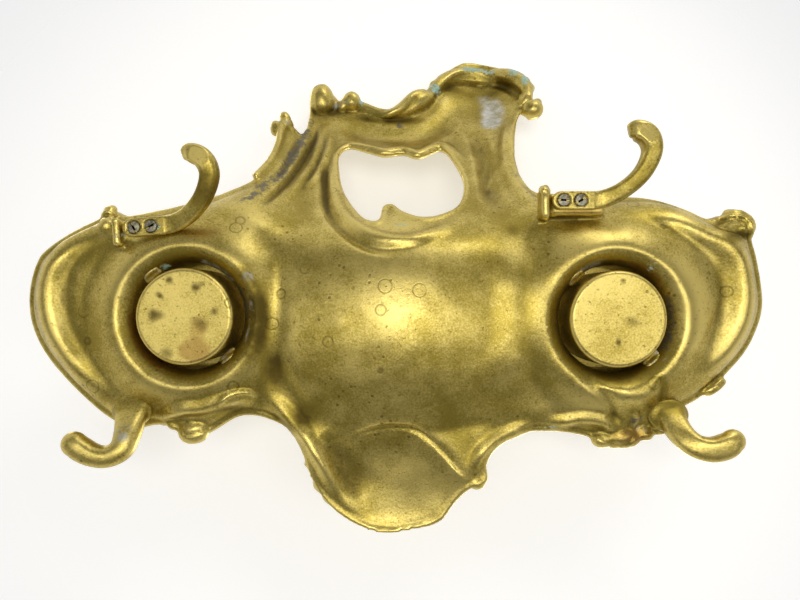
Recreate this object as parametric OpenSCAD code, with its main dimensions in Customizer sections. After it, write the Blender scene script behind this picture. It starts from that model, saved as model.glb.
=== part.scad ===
// Rococo desk inkstand: a relief-cast brass tray with a pen dish, a pierced back gallery
// and two wells, each holding a pot and a liner under a hinged lid, on four scroll feet.

/* [Tray] */
// Width of the tray from wing to wing
tray_w = 305.6; // [290:0.4:320]
// Depth of the tray from the front lip to the back of the crest
tray_d = 229.6; // [220:0.4:240]
// Height of the underside of the flat deck above the table
deck_h = 14; // [13:0.5:18]
// Thickness of the casting
wall = 3; // [2.5:0.25:4]
// How far the rim turns up round the wings
rim_rise = 8; // [4:0.5:10]
// Width of the turned-up rim
rim_w = 11; // [8:0.5:14]
// How much thicker the casting is along its edge
rim_bead = 1; // [0:0.25:2]
// How far the pen dish sinks below the deck
dish_drop = 10; // [6:0.5:11]
// Half the width of the pen dish
dish_rx = 58; // [50:1:60]
// Half the depth of the pen dish
dish_ry = 44; // [36:1:46]
// How high the front lip arches over the hand
lip_arch = 5; // [0:0.5:7]

/* [Gallery] */
// Height of the crest above the deck
gallery_h = 100; // [85:1:110]
// Where the gallery starts to rise, behind the middle of the tray
gallery_y = 5; // [2:0.5:8]

/* [Wells] */
// Bore of each well
well_d = 43.2; // [42:0.2:46]
// Distance of the right well from the middle of the tray
well_x_right = 83; // [80:0.5:86]
// Distance of the left well from the middle of the tray
well_x_left = 87.5; // [84:0.5:90]
// Height of the well's neck above the deck
neck_h = 19; // [14:0.5:24]
// Width of the neck's flat top
neck_w = 3.2; // [2.4:0.2:5]
// How far the ridge round each well stands down below the deck
ridge_drop = 6; // [2:0.5:6.5]

/* [Pots and liners] */
// Outside diameter of each brass pot
pot_d = 38.4; // [36:0.2:40]
// Wall of each pot
pot_wall = 1; // [0.8:0.1:1.6]
// Clearance between the table and the bottom of the pots
pot_clear = 6; // [4:0.5:8]
// Wall of each glass liner
liner_wall = 1.6; // [1.2:0.1:2.4]
// Thickness of the flanges that the pot and the liner hang by
flange_t = 1.4; // [1:0.1:2]

/* [Lids and hinges] */
// Thickness of the hinge collar
collar_t = 3; // [2.4:0.1:4]
// Height of each lid's dome
dome_h = 11; // [8:0.5:15]
// Wall of each lid
lid_wall = 1.6; // [1.2:0.1:2.2]
// Diameter of each hinge pin
pin_d = 2.2; // [1.8:0.1:2.6]
// Width of the lid's knuckle
knuckle_w = 7; // [5:0.5:9]
// Width of each of the collar's two knuckles
collar_knuckle_w = 4.5; // [3:0.5:6]
// Width of each soldered lug that holds a collar down
lug_w = 8.4; // [6:0.2:10]

/* [Feet] */
// Thickness of the back feet's plates
plate_t = 2.6; // [2:0.1:3.4]
// Width of the back feet's plates
plate_w = 7.4; // [6.4:0.2:8.4]
// Distance between the two screws in a plate
screw_pitch = 6.8; // [6:0.2:8]
// Diameter of a screw's head
screw_head_d = 4.9; // [4.2:0.1:5.4]
// Diameter of a screw's shank
screw_d = 2.6; // [2:0.1:3]
// Thickness of the feet at their tips
tip_t = 8; // [6:0.2:9]
// Diameter of the seats that the front feet are brazed to
front_seat_d = 11; // [9:0.5:12]

/* [Hidden] */

$fn = 64;
eps = 0.01;
fit = 0.05;        // radial clearance of a shaft in its hole
play = 0.3;        // clearance between pieces that are dropped in

// ---- drawing of the tray's edge -------------------------------------------------
// Each row is [x, y, turn-up], in the order a hand goes round the edge from the right
// wing to the left by the back. Turn-up is the share of rim_rise found there.
right_wing = [
    [117, -70, 0.5], [128, -62.5, 0.8], [140, -51, 1], [149.5, -37, 1], [152.8, -21, 1],
    [149.5, -5, 1], [143.5, 2, 1], [133.5, 8, 1], [126.5, 12.5, 1.1], [121, 17, 1.3],
    [114, 15, 1.1], [100, 17.5, 1], [84, 22.5, 1], [73, 27, 0.6]
];
right_flank = [
    [64, 32.5, 0.3], [59.5, 43, 0], [57.5, 55, 0], [58.5, 69, 0], [53, 67.5, 0],
    [48, 64, 0], [46.5, 76, 0]
];
crest = [
    [47, 89, 0], [42, 98, 0], [35.5, 93, 0], [30, 86.5, 0], [23.5, 90, 0], [17, 84, 0],
    [8, 80.5, 0], [-2, 81.5, 0], [-9, 90, 0], [-20, 99, 0], [-29.5, 109.5, 0],
    [-39, 114.8, 0], [-50, 113.5, 0], [-62, 109, 0], [-73, 102.5, 0], [-72.5, 95, 0]
];
left_flank = [
    [-66, 80, 0], [-60, 66, 0], [-56.5, 52, 0], [-55.5, 37, 0.2], [-60, 27.5, 0.6]
];
left_wing = [
    [-70, 24, 0.9], [-90, 23.7, 1], [-108, 23, 1], [-122, 18.3, 1], [-131, 13.5, 1.1],
    [-139, 15, 1.3], [-145.5, 13, 1.2], [-149, 2, 1], [-152.8, -21, 1], [-149, -36.5, 1],
    [-139.5, -50, 1], [-126, -61.5, 0.8], [-116, -67, 0.5]
];
left_front = [
    [-112, -75.5, 0.4], [-99, -77.5, 0.4], [-94, -81.5, 0.4], [-86, -81.5, 0.4],
    [-79.5, -77.5, 0.4], [-69, -75.4, 0.4], [-55, -75, 0.3], [-43, -79, 0.2], [-37, -87, 0.1]
];
lip = [
    [-37, -94, 0], [-31, -96.3, 0], [-24.5, -101.5, 0], [-18, -110, 0], [-9, -113, 0],
    [6, -114.8, 0], [20, -109.5, 0], [31, -99, 0], [38.5, -82.2, 0.1]
];
right_front = [
    [46, -72.5, 0.2], [57.5, -68.3, 0.3], [66, -69.5, 0.4], [76, -75.5, 0.4],
    [84.5, -78, 0.4], [90, -74, 0.4], [97, -72, 0.4], [108, -74, 0.4]
];
drawn_edge = concat(right_wing, right_flank, crest, left_flank, left_wing, left_front,
                    lip, right_front);
// The window pierced through the gallery, with its tongue at the bottom.
drawn_window = [
    [28, 49], [24.5, 53.5], [14, 50.5], [6, 47.8], [-3.5, 49], [-11, 46.5], [-22, 52],
    [-27.5, 45.5], [-31, 33], [-28, 21.5], [-20.5, 16], [-11, 14.2], [-3, 17],
    [1.5, 19.5], [5, 18.5], [6.3, 12], [12.5, 13], [18.5, 19], [24, 28.5], [27.3, 40]
];
edge_steps = 2;
ring_shares = [0.13, 0.26, 0.38, 0.49, 0.59, 0.68, 0.76, 0.83, 0.885, 0.93, 0.965, 1];

// ---- curves ---------------------------------------------------------------------
// A point of the smooth curve through b and c, with a and d as their neighbours.
function spline_point(a, b, c, d, t) =
    0.5 * (2 * b + (c - a) * t + (2 * a - 5 * b + 4 * c - d) * t * t
           + (3 * b - 3 * c + d - a) * t * t * t);
function closed_spline(p, steps) = [
    for (i = [0 : len(p) - 1], k = [0 : steps - 1])
        spline_point(p[(i + len(p) - 1) % len(p)], p[i], p[(i + 1) % len(p)],
                     p[(i + 2) % len(p)], k / steps)
];
function open_spline(p, steps) = concat([
    for (i = [0 : len(p) - 2], k = [0 : steps - 1])
        spline_point(p[max(i - 1, 0)], p[i], p[i + 1], p[min(i + 2, len(p) - 1)], k / steps)
], [p[len(p) - 1]]);
function smooth(t) = let (c = min(max(t, 0), 1)) c * c * (3 - 2 * c);
function unit(v) = v / norm(v);

// ---- the casting's underside ------------------------------------------------------
drawn = closed_spline(drawn_edge, edge_steps);
drawn_x = [for (p = drawn) p[0]];
drawn_y = [for (p = drawn) p[1]];
kx = tray_w / (max(drawn_x) - min(drawn_x));
ky = tray_d / (max(drawn_y) - min(drawn_y));
// A place on the drawing at the tray's own width and depth.
function drawn_at(x, y) = [x * kx, y * ky];
edge = [for (p = drawn) [p[0] * kx, p[1] * ky, p[2]]];
edge_x = [for (p = edge) p[0]];
edge_y = [for (p = edge) p[1]];
// Brings the middle of the tray's length and depth onto the origin.
centring = -[max(edge_x) + min(edge_x), max(edge_y) + min(edge_y), 0] / 2;
hub = drawn_at(0, -21);     // where the rings of the casting's two sheets run out from
dish_c = drawn_at(-2, -33);
lip_c = drawn_at(4, -94);
lip_r = drawn_at(32, 22);
lip_side = 45 * kx;         // where the lip's own form has faded into the deck
lip_fade = 12 * kx;
crease_y = -72 * ky;
crease_w = 7 * ky;
flank_x = 40 * kx;          // where the gallery starts to lag at its flanks
flank_w = 26 * kx;
gallery_side = 9;      // how much later the gallery starts to rise at its flanks
gallery_bend = 8;      // half the length of the curve from the deck into the gallery
gallery_curl = 1.35;   // 1 is a straight slope, more leans the crest further back
crest_y = max(edge_y);
band_c = drawn_at(-6, 70);  // the hollow band over the window
band_r = drawn_at(64, 24);
band_arch = 4;
shell_c = drawn_at(-52, 92); // the shell at the crest
shell_r = drawn_at(27, 30);
shell_arch = 5;
function past_flank(x) = gallery_side * smooth((abs(x) - flank_x) / flank_w);
function bend(t) = t < -gallery_bend ? 0
    : t > gallery_bend ? t : (t + gallery_bend) * (t + gallery_bend) / 4 / gallery_bend;
function gallery(x, y) =
    let (t = bend(y - gallery_y - past_flank(x)) / (crest_y - gallery_y))
    gallery_h * (1 - pow(max(1 - t, 0), gallery_curl));
function ellipse_share(x, y, c, r) =
    max(0, 1 - pow((x - c[0]) / r[0], 2) - pow((y - c[1]) / r[1], 2));
function dish(x, y) = -dish_drop * pow(ellipse_share(x, y, dish_c, [dish_rx, dish_ry]), 0.75);
function lip_form(x, y) = lip_arch * ellipse_share(x, y, lip_c, lip_r) - 2;
function arches(x, y) =
    band_arch * pow(ellipse_share(x, y, band_c, band_r), 1.5)
    + shell_arch * pow(ellipse_share(x, y, shell_c, shell_r), 1.5);
// Height of the underside, without the turned-up rim.
function deck(x, y) =
    let (front = smooth((crease_y + crease_w / 2 - y) / crease_w) * smooth((lip_side - abs(x)) / lip_fade))
    deck_h + gallery(x, y) + arches(x, y)
        + (1 - front) * dish(x, y) + front * lip_form(x, y);
function turn_up(d) = d > rim_w ? 0 : pow(1 - d / rim_w, 1.6);
// Distance from a point to the stretch of edge between a and b.
function stretch_distance(p, a, b) =
    let (t = min(max((p - a) * (b - a) / ((b - a) * (b - a)), 0), 1)) norm(p - a - t * (b - a));
edge_xy = [for (e = edge) [e[0], e[1]]];
function edge_distance(p) = min([
    for (i = [0 : len(edge_xy) - 1])
        stretch_distance(p, edge_xy[i], edge_xy[(i + 1) % len(edge_xy)])
]);
// How much thicker the wall is along Z than square to its slope.
function slope_factor(x, y, d, rise) =
    let (gx = deck(x + 0.5, y) - deck(x - 0.5, y),
         gy = deck(x, y + 0.5) - deck(x, y - 0.5),
         gd = rise * (turn_up(max(d - 0.5, 0)) - turn_up(d + 0.5)))
    sqrt(1 + min(gx * gx + gy * gy + gd * gd, 1.6));
// Underside and top of the casting at the share f of the way from the hub to an edge point.
function wall_points(e, f) =
    let (p = hub + f * ([e[0], e[1]] - hub),
         d = f > 0.6 ? edge_distance(p) : rim_w + 1,
         rise = rim_rise * e[2],
         z = deck(p[0], p[1]) + rise * turn_up(d),
         t = wall * slope_factor(p[0], p[1], d, rise) + rim_bead * turn_up(2 * d))
    [[p[0], p[1], z], [p[0], p[1], z + t]];

module relief_shell() {
    n = len(edge);
    rings = len(ring_shares);
    walls = [for (f = ring_shares, e = edge) wall_points(e, f)];
    under = [for (w = walls) w[0]];
    top = [for (w = walls) w[1]];
    hub_walls = wall_points(edge[0], 0);
    points = concat(under, top, hub_walls);
    up = rings * n;
    last = (rings - 1) * n;
    ring_faces = [
        for (k = [0 : rings - 2], i = [0 : n - 1])
            let (j = (i + 1) % n, a = k * n + i, b = k * n + j, c = a + n, d = b + n)
            each [[a, d, b], [a, c, d], [up + a, up + b, up + d], [up + a, up + d, up + c]]
    ];
    hub_faces = [
        for (i = [0 : n - 1])
            let (j = (i + 1) % n)
            each [[2 * up, i, j], [2 * up + 1, up + j, up + i]]
    ];
    side_faces = [
        for (i = [0 : n - 1])
            let (j = (i + 1) % n, a = last + i, b = last + j)
            each [[a, up + a, up + b], [a, up + b, b]]
    ];
    polyhedron(points, concat(ring_faces, hub_faces, side_faces), convexity = 8);
}
// ---- heights of the stack of pieces in each well ----------------------------------
well_r = well_d / 2;
neck_z = deck_h + neck_h;
collar_z = neck_z + collar_t;
neck_r = well_r + neck_w;
ridge_r = well_r + 6;
foot_r = well_r + 16.4;            // where the well's foot runs out into the deck
pot_r = pot_d / 2;
pot_flange_r = pot_r + 2;
collar_bore_r = pot_r + play;
collar_r = neck_r + 0.8;
liner_r = pot_r - pot_wall - play;
liner_flange_r = liner_r + 1;
lid_r = collar_r;
lid_band_h = 2.4;
hinge_y = collar_r + 3.2;          // behind the middle of the well
hinge_z = collar_z + 1.2;
knuckle_r = pin_d / 2 + 1.4;
collar_knuckle_x = (knuckle_w + collar_knuckle_w) / 2 + 0.15;
finial_hole_r = 1.5;
finial_seat_r = 4;
pot_floor = 1.4;
pot_edge_r = 1.2;
screw_head_h = 1.6;
screw_slot_w = 0.7;
screw_slot_h = 0.9;
well_left = [-well_x_left * kx, -28.5 * ky, 0] + centring;
well_right = [well_x_right * kx, -27.5 * ky, 0] + centring;
lug_angles_left = [48, 226];       // round each well, from +X towards +Y
lug_angles_right = [48, 226];
lug_r = well_r + 0.4;              // middle of the lugs' thickness
lug_t = 3;
lug_bottom_z = deck_h - 1.5;

// ---- places of the feet -------------------------------------------------------------
// Middle between the two screws of each back foot, and the turn of its plate.
back_foot_place_left = [-70 * kx, 18.5 * ky, 0] + centring;
back_foot_place_right = [100.3 * kx, 8 * ky, 0] + centring;
back_foot_turn_left = 0;
back_foot_turn_right = 4;
pad_z = deck_h - 3;
plate_z = pad_z - plate_t;
front_seat_z = deck_h - 1.5;
front_seat_left = [-112 * kx, -69.5 * ky, 0] + centring;
front_seat_right = [108.5 * kx, -67.5 * ky, 0] + centring;
worn = 0.5;        // depth of the flat worn on the bottom of each foot

module at_well(side) {
    translate(side < 0 ? well_left : well_right) children();
}
module at_back_foot(side) {
    translate(side < 0 ? back_foot_place_left : back_foot_place_right)
        rotate(side < 0 ? -back_foot_turn_left : -back_foot_turn_right) children();
}

// ---- tray casting -------------------------------------------------------------------
// The raised socket of a well: ridge below, bulb and neck above.
ridge_z = deck_h - ridge_drop;
bulb_r = neck_r + 3.4;
foot_sink = 0.4;                   // how deep the well's foot ends in the deck
well_profile = concat(
    [[well_r, neck_z], [well_r, deck_h + 1]],
    open_spline([[well_r, deck_h + 1], [well_r + 1.6, ridge_z + 2.2], [ridge_r, ridge_z],
                 [ridge_r + 5, ridge_z + 2.4], [foot_r, deck_h + foot_sink]], 3),
    open_spline([[foot_r, deck_h + wall - foot_sink], [foot_r - 5, deck_h + wall + 1.2],
                 [bulb_r + 1, deck_h + wall + 4.2], [bulb_r, neck_z - 7.5],
                 [neck_r + 0.6, neck_z - 2.5], [neck_r, neck_z]], 3)
);
module well_socket() {
    rotate_extrude() polygon(well_profile);
}
module lug_notch(angle) {
    rotate(angle) translate([lug_r - lug_t / 2 - play / 2, -lug_w / 2 - play / 2, 0])
        cube([lug_t + play, lug_w + play, neck_z + 1]);
}
pad_size = [18, 9];
pad_top_z = deck_h + wall + 0.5;
stop_rib_size = [3, 9];
stop_gap = 1;
plate_end = screw_pitch / 2 + 4.6;     // from the middle of the screws to the plate's end
// The filed pad under a back foot and the rib that its plate stops against.
module foot_pad() {
    translate([0, 0, pad_z]) linear_extrude(pad_top_z - pad_z) {
        translate([pad_size[0] / 2 - 12, -1]) square(pad_size, center = true);
        for (s = [-1, 1]) translate([s * pad_size[0] / 2 - 3, -1]) circle(d = pad_size[1]);
    }
    translate([plate_end + stop_gap, -stop_rib_size[1] / 2 - 0.5, plate_z + 0.6])
        cube([stop_rib_size[0], stop_rib_size[1], pad_top_z - plate_z]);
}
screw_depth = 5;   // how far the screws reach into the pads
module screw_holes(r, z, h) {
    for (s = [-1, 1]) translate([s * screw_pitch / 2, 0, z]) cylinder(r = r, h = h);
}
// The curled tips and lobes round the edge: each row is [x, y, radius, turn-up].
knobs = [
    [-71.8, 85, 5.2, 0], [41.7, 91.4, 6, 0], [25.8, 87.4, 4.5, 0], [56.6, 69.5, 3.6, 0],
    [120.7, 13.6, 3.4, 1.2], [-143.8, 13, 4.4, 1.2], [82.6, -74.4, 4.6, 0.4],
    [-92.8, -77.4, 4, 0.4], [-84.2, -78.2, 3.2, 0.4], [-134.5, -57.2, 2.6, 1]
];
module knob(k) {
    p = drawn_at(k[0], k[1]);
    z = deck(p[0], p[1]) + rim_rise * k[3] * turn_up(edge_distance(p)) + wall / 2;
    translate([p[0], p[1], z]) sphere(r = k[2], $fn = 24);
}
// The rolls along the crest, its petal and the leaf beside it: each row is [x, y, radius].
rolls = [
    [[-17, 92.5, 1.8], [-22, 99.5, 3], [-29, 106, 3.4], [-38, 110, 3.4], [-47, 109.6, 3.2],
     [-54, 108.4, 2.6], [-60, 106, 3.2], [-66.5, 102, 3.4], [-70, 95.6, 3], [-70.5, 88, 2]],
    [[22, 87, 2], [17, 83, 2], [9, 80, 2], [1, 79.6, 2.4], [-5, 83, 3.2], [-10, 88, 4],
     [-15.5, 92, 3.4], [-20, 93, 1.6]],
    [[57, 70, 2.6], [57.6, 63, 2.4], [57.6, 54, 1.8], [59, 44, 1.5], [63, 34, 1.4]]
];
module roll(rows) {
    swept_bar([
        for (r = rows)
            let (p = drawn_at(r[0], r[1])) [p[0], p[1], deck(p[0], p[1]), r[2], r[2]]
    ], 2, 8);
}
module tray_casting() {
    color("#a8903c") difference() {
        union() {
            translate(centring) relief_shell();
            for (side = [-1, 1]) {
                at_well(side) well_socket();
                at_back_foot(side) foot_pad();
            }
            for (p = [front_seat_left, front_seat_right])
                translate([p[0], p[1], front_seat_z])
                    cylinder(d = front_seat_d, h = deck_h + wall - front_seat_z);
            translate(centring) {
                for (k = knobs) knob(k);
                for (r = rolls) roll(r);
            }
        }
        translate(centring + [0, 0, deck_h - 2])
            linear_extrude(gallery_h)
                polygon([for (p = closed_spline(drawn_window, edge_steps))
                    [p[0] * kx, p[1] * ky]]);
        for (side = [-1, 1]) {
            at_well(side) {
                translate([0, 0, deck_h - ridge_drop - 1])
                    cylinder(r = well_r, h = neck_h + ridge_drop + 2);
                for (a = side < 0 ? lug_angles_left : lug_angles_right) lug_notch(a);
            }
            at_back_foot(side) screw_holes(screw_d / 2 + fit, pad_z - 1, screw_depth + 1);
        }
    }
}

// ---- feet -----------------------------------------------------------------------------
// A bar swept along a path of [x, y, z, half width, half height] with rounded sides.
module swept_bar(path, steps, sides = 12) {
    p = open_spline(path, steps);
    n = len(p);
    function at(i) = [p[i][0], p[i][1], p[i][2]];
    function along(i) = unit(at(min(i + 1, n - 1)) - at(max(i - 1, 0)));
    points = [
        for (i = [0 : n - 1])
            let (t = along(i), s = unit(cross(t, [0, 0, 1])), u = cross(s, t))
            for (k = [0 : sides - 1])
                let (a = 360 * k / sides, c = cos(a), b = sin(a))
                at(i) + s * p[i][3] * sign(c) * pow(abs(c), 0.7)
                    + u * p[i][4] * sign(b) * pow(abs(b), 0.7)
    ];
    walls = [
        for (i = [0 : n - 2], k = [0 : sides - 1])
            let (j = (k + 1) % sides, a = i * sides + k, b = i * sides + j)
            each [[a, b + sides, a + sides], [a, b, b + sides]]
    ];
    ends = [
        [for (k = [sides - 1 : -1 : 0]) k],
        [for (k = [0 : sides - 1]) (n - 1) * sides + k]
    ];
    polyhedron(points, concat(walls, ends), convexity = 6);
}
module above_table() {
    difference() {
        children();
        translate([-400, -400, -20]) cube([800, 800, 20]);
    }
}
tip_r = tip_t / 2;
tip_z = tip_r - worn;
// The right front foot, from its seat; the left one is its mirror image.
front_foot_path = [
    [0, 0, front_seat_z - 4.4, 4.6, 3.9], [1.4, -7, front_seat_z - 5, 4.4, 4],
    [5, -11.6, front_seat_z - 6.2, 4.2, 4], [10, -12.2, tip_z + 1.4, 4.2, tip_r],
    [15, -9.4, tip_z, 4.4, tip_r], [19, -5.6, tip_z + 0.3, 3.9, tip_r - 0.4],
    [21.6, -2.6, tip_z + 1, 1.8, tip_r - 2.2]
];
module front_foot(side) {
    seat = side < 0 ? front_seat_left : front_seat_right;
    color("#b3993f") above_table() translate([seat[0], seat[1], 0])
        mirror([side < 0 ? 1 : 0, 0, 0]) {
            swept_bar(front_foot_path, 3);
            translate([0, 0, front_seat_z - 5])
                cylinder(d = front_seat_d, h = 5);
        }
}
// The back feet are one casting used twice, so both curl the same way.
back_foot_path = [
    [-8, 0, plate_z + plate_t / 2, plate_w / 2, plate_t / 2],
    [-12, 0.6, plate_z + plate_t / 2, plate_w / 2, plate_t / 2],
    [-19.6, 4.1, plate_z - 0.2, 3.6, 2.4],
    [-26.4, 10.3, tip_z + 2.4, 3.6, 3],
    [-29.6, 18.6, tip_z + 1, 3.8, tip_r - 0.4],
    [-27.2, 24.2, tip_z, 4.2, tip_r],
    [-22.7, 26.4, tip_z + 0.2, 3.8, tip_r - 0.4],
    [-19.6, 25.6, tip_z + 1.2, 1.6, tip_r - 2.4]
];
module plate_outline() {
    translate([plate_end - plate_w / 2, 0]) circle(d = plate_w);
    translate([-9, -plate_w / 2]) square([plate_end - plate_w / 2 + 9, plate_w]);
}
module back_foot(side) {
    color("#b3993f") above_table() at_back_foot(side) difference() {
        union() {
            translate([0, 0, plate_z]) linear_extrude(plate_t) plate_outline();
            swept_bar(back_foot_path, 3);
        }
        screw_holes(screw_d / 2 + fit, plate_z - 1, plate_t + 2);
        for (s = [-1, 1]) translate([s * screw_pitch / 2, 0, plate_z - eps])
            cylinder(r1 = screw_head_d / 2 + fit, r2 = screw_d / 2 + fit, h = screw_head_h);
    }
}
module back_foot_screw(slot_turn) {
    difference() {
        union() {
            translate([0, 0, plate_z - eps])
                cylinder(r1 = screw_head_d / 2, r2 = screw_d / 2, h = screw_head_h - fit);
            translate([0, 0, plate_z + screw_head_h - 2 * fit])
                cylinder(d = screw_d, h = pad_z + screw_depth - screw_head_h - plate_z - play);
        }
        rotate(slot_turn) translate([-screw_head_d, -screw_slot_w / 2, plate_z - 1])
            cube([2 * screw_head_d, screw_slot_w, 1 + screw_slot_h]);
    }
}
module back_foot_screws(side) {
    slot_turns = side < 0 ? [-32, 4] : [-24, 66];
    color("#8d8672") at_back_foot(side)
        for (i = [0, 1]) translate([(i - 0.5) * screw_pitch, 0, 0])
            back_foot_screw(slot_turns[i]);
}

// ---- wells: collar, lugs, pot and liner ---------------------------------------------
module hinge_collar(side) {
    color("#b3993f") at_well(side) difference() {
        union() {
            translate([0, 0, neck_z]) rotate_extrude() polygon([
                [collar_bore_r, 0], [neck_r, 0], [collar_r, 0.8],
                [collar_r, collar_t], [collar_bore_r, collar_t]
            ]);
            for (s = [-1, 1]) translate([s * collar_knuckle_x, 0, 0]) {
                translate([-collar_knuckle_w / 2, neck_r - 1, neck_z + 0.6])
                    cube([collar_knuckle_w, hinge_y - neck_r + 1, collar_t - 0.6]);
                translate([-collar_knuckle_w / 2, hinge_y, hinge_z]) rotate([0, 90, 0])
                    cylinder(r = knuckle_r, h = collar_knuckle_w);
            }
        }
        translate([0, 0, collar_z - flange_t])
            cylinder(r = pot_flange_r + play, h = flange_t + 1);
        hinge_hole();
    }
}
module hinge_hole() {
    translate([-30, hinge_y, hinge_z]) rotate([0, 90, 0])
        cylinder(r = pin_d / 2 + fit, h = 60);
}
module collar_lugs(side) {
    color("#8d8672") at_well(side)
        for (a = side < 0 ? lug_angles_left : lug_angles_right)
            rotate(a) translate([lug_r, 0, lug_bottom_z])
                linear_extrude(neck_z - lug_bottom_z) {
                    square([lug_t, lug_w - lug_t], center = true);
                    for (s = [-1, 1]) translate([0, s * (lug_w - lug_t) / 2])
                        circle(d = lug_t);
                }
}
module ink_pot(side) {
    color("#bfa548") at_well(side) rotate_extrude() polygon(concat(
        [[0, pot_clear]],
        [for (a = [-90 : 30 : 0])
            [pot_r - pot_edge_r * (1 - cos(a)), pot_clear + pot_edge_r * (1 + sin(a))]],
        [[pot_r, collar_z - flange_t], [pot_flange_r, collar_z - flange_t],
         [pot_flange_r, collar_z], [pot_r - pot_wall, collar_z],
         [pot_r - pot_wall, pot_clear + pot_floor], [0, pot_clear + pot_floor]]
    ));
}
module glass_liner(side) {
    liner_z = pot_clear + pot_floor + play;
    color("#d9e6e2", 0.5) at_well(side) rotate_extrude() polygon([
        [0, liner_z], [liner_r - 2, liner_z], [liner_r, liner_z + 2], [liner_r, collar_z],
        [liner_flange_r, collar_z], [liner_flange_r, collar_z + flange_t],
        [liner_r - liner_wall, collar_z + flange_t],
        [liner_r - liner_wall, liner_z + 4], [liner_r - liner_wall - 3, liner_z + liner_wall + 0.6],
        [0, liner_z + liner_wall]
    ]);
}

// ---- lids and hinges -------------------------------------------------------------------
lid_outside = open_spline([
    [lid_r - 0.6, lid_band_h], [lid_r - 2.4, lid_band_h + 0.8], [lid_r * 0.84, dome_h * 0.5],
    [lid_r * 0.64, dome_h * 0.76], [lid_r * 0.36, dome_h * 0.93], [finial_seat_r, dome_h]
], 3);
lid_inside = open_spline([
    [0.01, dome_h - lid_wall], [lid_r * 0.36, dome_h * 0.93 - lid_wall],
    [lid_r * 0.64 - 0.5, dome_h * 0.76 - lid_wall], [lid_r * 0.84 - lid_wall, dome_h * 0.5 - 1],
    [lid_r - 3, 1], [lid_r - 3, 0]
], 3);
module lid(side) {
    color("#b3993f") at_well(side) difference() {
        union() {
            translate([0, 0, collar_z]) rotate_extrude() polygon(concat(
                [[lid_r, 0], [lid_r, lid_band_h - 0.5]], lid_outside,
                [[0, dome_h]], [[0, dome_h - lid_wall]], lid_inside
            ));
            translate([-knuckle_w / 2, lid_r - 2.5, collar_z + play])
                cube([knuckle_w, hinge_y - lid_r + 2.5, lid_band_h - play]);
            translate([-knuckle_w / 2, hinge_y, hinge_z]) rotate([0, 90, 0])
                cylinder(r = knuckle_r, h = knuckle_w);
            translate([0, -lid_r, collar_z + play]) linear_extrude(thumb_t) thumb_outline();
        }
        hinge_hole();
        translate([0, 0, collar_z + dome_h / 2]) cylinder(r = finial_hole_r, h = dome_h);
    }
}
thumb_w = 9;
thumb_l = 3.4;
thumb_t = 1.8;
// A small three-lobed shell to lift the lid by.
module thumb_outline() {
    for (x = [-1, 0, 1]) translate([x * thumb_w / 3.2, -thumb_l / 2 + abs(x) * 0.6])
        circle(r = thumb_w / 4.6);
    translate([-thumb_w / 2.4, -thumb_l / 2]) square([thumb_w / 1.2, thumb_l]);
}
module lid_finial(side) {
    color("#bfa548") at_well(side) translate([0, 0, collar_z + dome_h])
        rotate_extrude() polygon(concat(
            [[0, -lid_wall - 0.8], [finial_hole_r - fit, -lid_wall - 0.8],
             [finial_hole_r - fit, 0], [finial_seat_r - 0.4, 0], [finial_seat_r - 0.4, 0.8]],
            open_spline([[2.2, 1.4], [1.7, 2.4], [2.9, 3.6], [3.4, 5.1], [2.6, 6.7],
                         [0.8, 7.5]], 3),
            [[0, 7.6]]
        ));
}
module hinge_pin(side) {
    color("#8d8672") at_well(side) translate([0, hinge_y, hinge_z]) rotate([0, 90, 0]) {
        half = collar_knuckle_x + collar_knuckle_w / 2;
        translate([0, 0, -half]) cylinder(d = pin_d, h = 2 * half);
        for (s = [0, 1]) rotate([s * 180, 0, 0]) translate([0, 0, half])
            cylinder(r1 = pin_d / 2 + 0.7, r2 = pin_d / 2, h = 0.8);
    }
}

tray_casting();
front_foot(-1);  // front_foot_left
front_foot(1);  // front_foot_right
back_foot(-1);  // back_foot_left
back_foot(1);  // back_foot_right
back_foot_screws(-1);  // back_foot_screws_left
back_foot_screws(1);  // back_foot_screws_right
hinge_collar(-1);  // hinge_collar_left
hinge_collar(1);  // hinge_collar_right
collar_lugs(-1);  // collar_lugs_left
collar_lugs(1);  // collar_lugs_right
ink_pot(-1);  // ink_pot_left
ink_pot(1);  // ink_pot_right
glass_liner(-1);  // glass_liner_left
glass_liner(1);  // glass_liner_right
lid(-1);  // lid_left
lid(1);  // lid_right
lid_finial(-1);  // lid_finial_left
lid_finial(1);  // lid_finial_right
hinge_pin(-1);  // hinge_pin_left
hinge_pin(1);  // hinge_pin_right
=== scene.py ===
"""Desk inkstand: the finish of every surface and the fine forms of the casting."""

import math

import bpy
import numpy as np
from mathutils import Matrix, Vector, geometry


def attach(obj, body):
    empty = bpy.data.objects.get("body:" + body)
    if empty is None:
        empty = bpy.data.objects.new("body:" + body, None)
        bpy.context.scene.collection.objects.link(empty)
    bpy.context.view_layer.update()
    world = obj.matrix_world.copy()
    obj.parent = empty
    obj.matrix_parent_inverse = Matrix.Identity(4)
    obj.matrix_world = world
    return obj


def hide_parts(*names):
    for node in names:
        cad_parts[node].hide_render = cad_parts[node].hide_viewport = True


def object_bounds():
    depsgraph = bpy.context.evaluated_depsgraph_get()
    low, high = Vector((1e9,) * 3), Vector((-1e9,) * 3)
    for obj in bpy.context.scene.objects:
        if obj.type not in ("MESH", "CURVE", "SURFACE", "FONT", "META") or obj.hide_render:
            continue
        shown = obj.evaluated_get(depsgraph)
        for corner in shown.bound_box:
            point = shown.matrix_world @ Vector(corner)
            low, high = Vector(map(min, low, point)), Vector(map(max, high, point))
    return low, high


bl_info = {
    "name": "Desk Inkstand",
    "version": (1, 0, 0),
    "blender": (4, 5, 0),
    "location": "3D View > Sidebar > Inkstand",
    "description": "Builds a rococo brass desk inkstand over its packed solids",
    "category": "Add Mesh",
}

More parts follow.
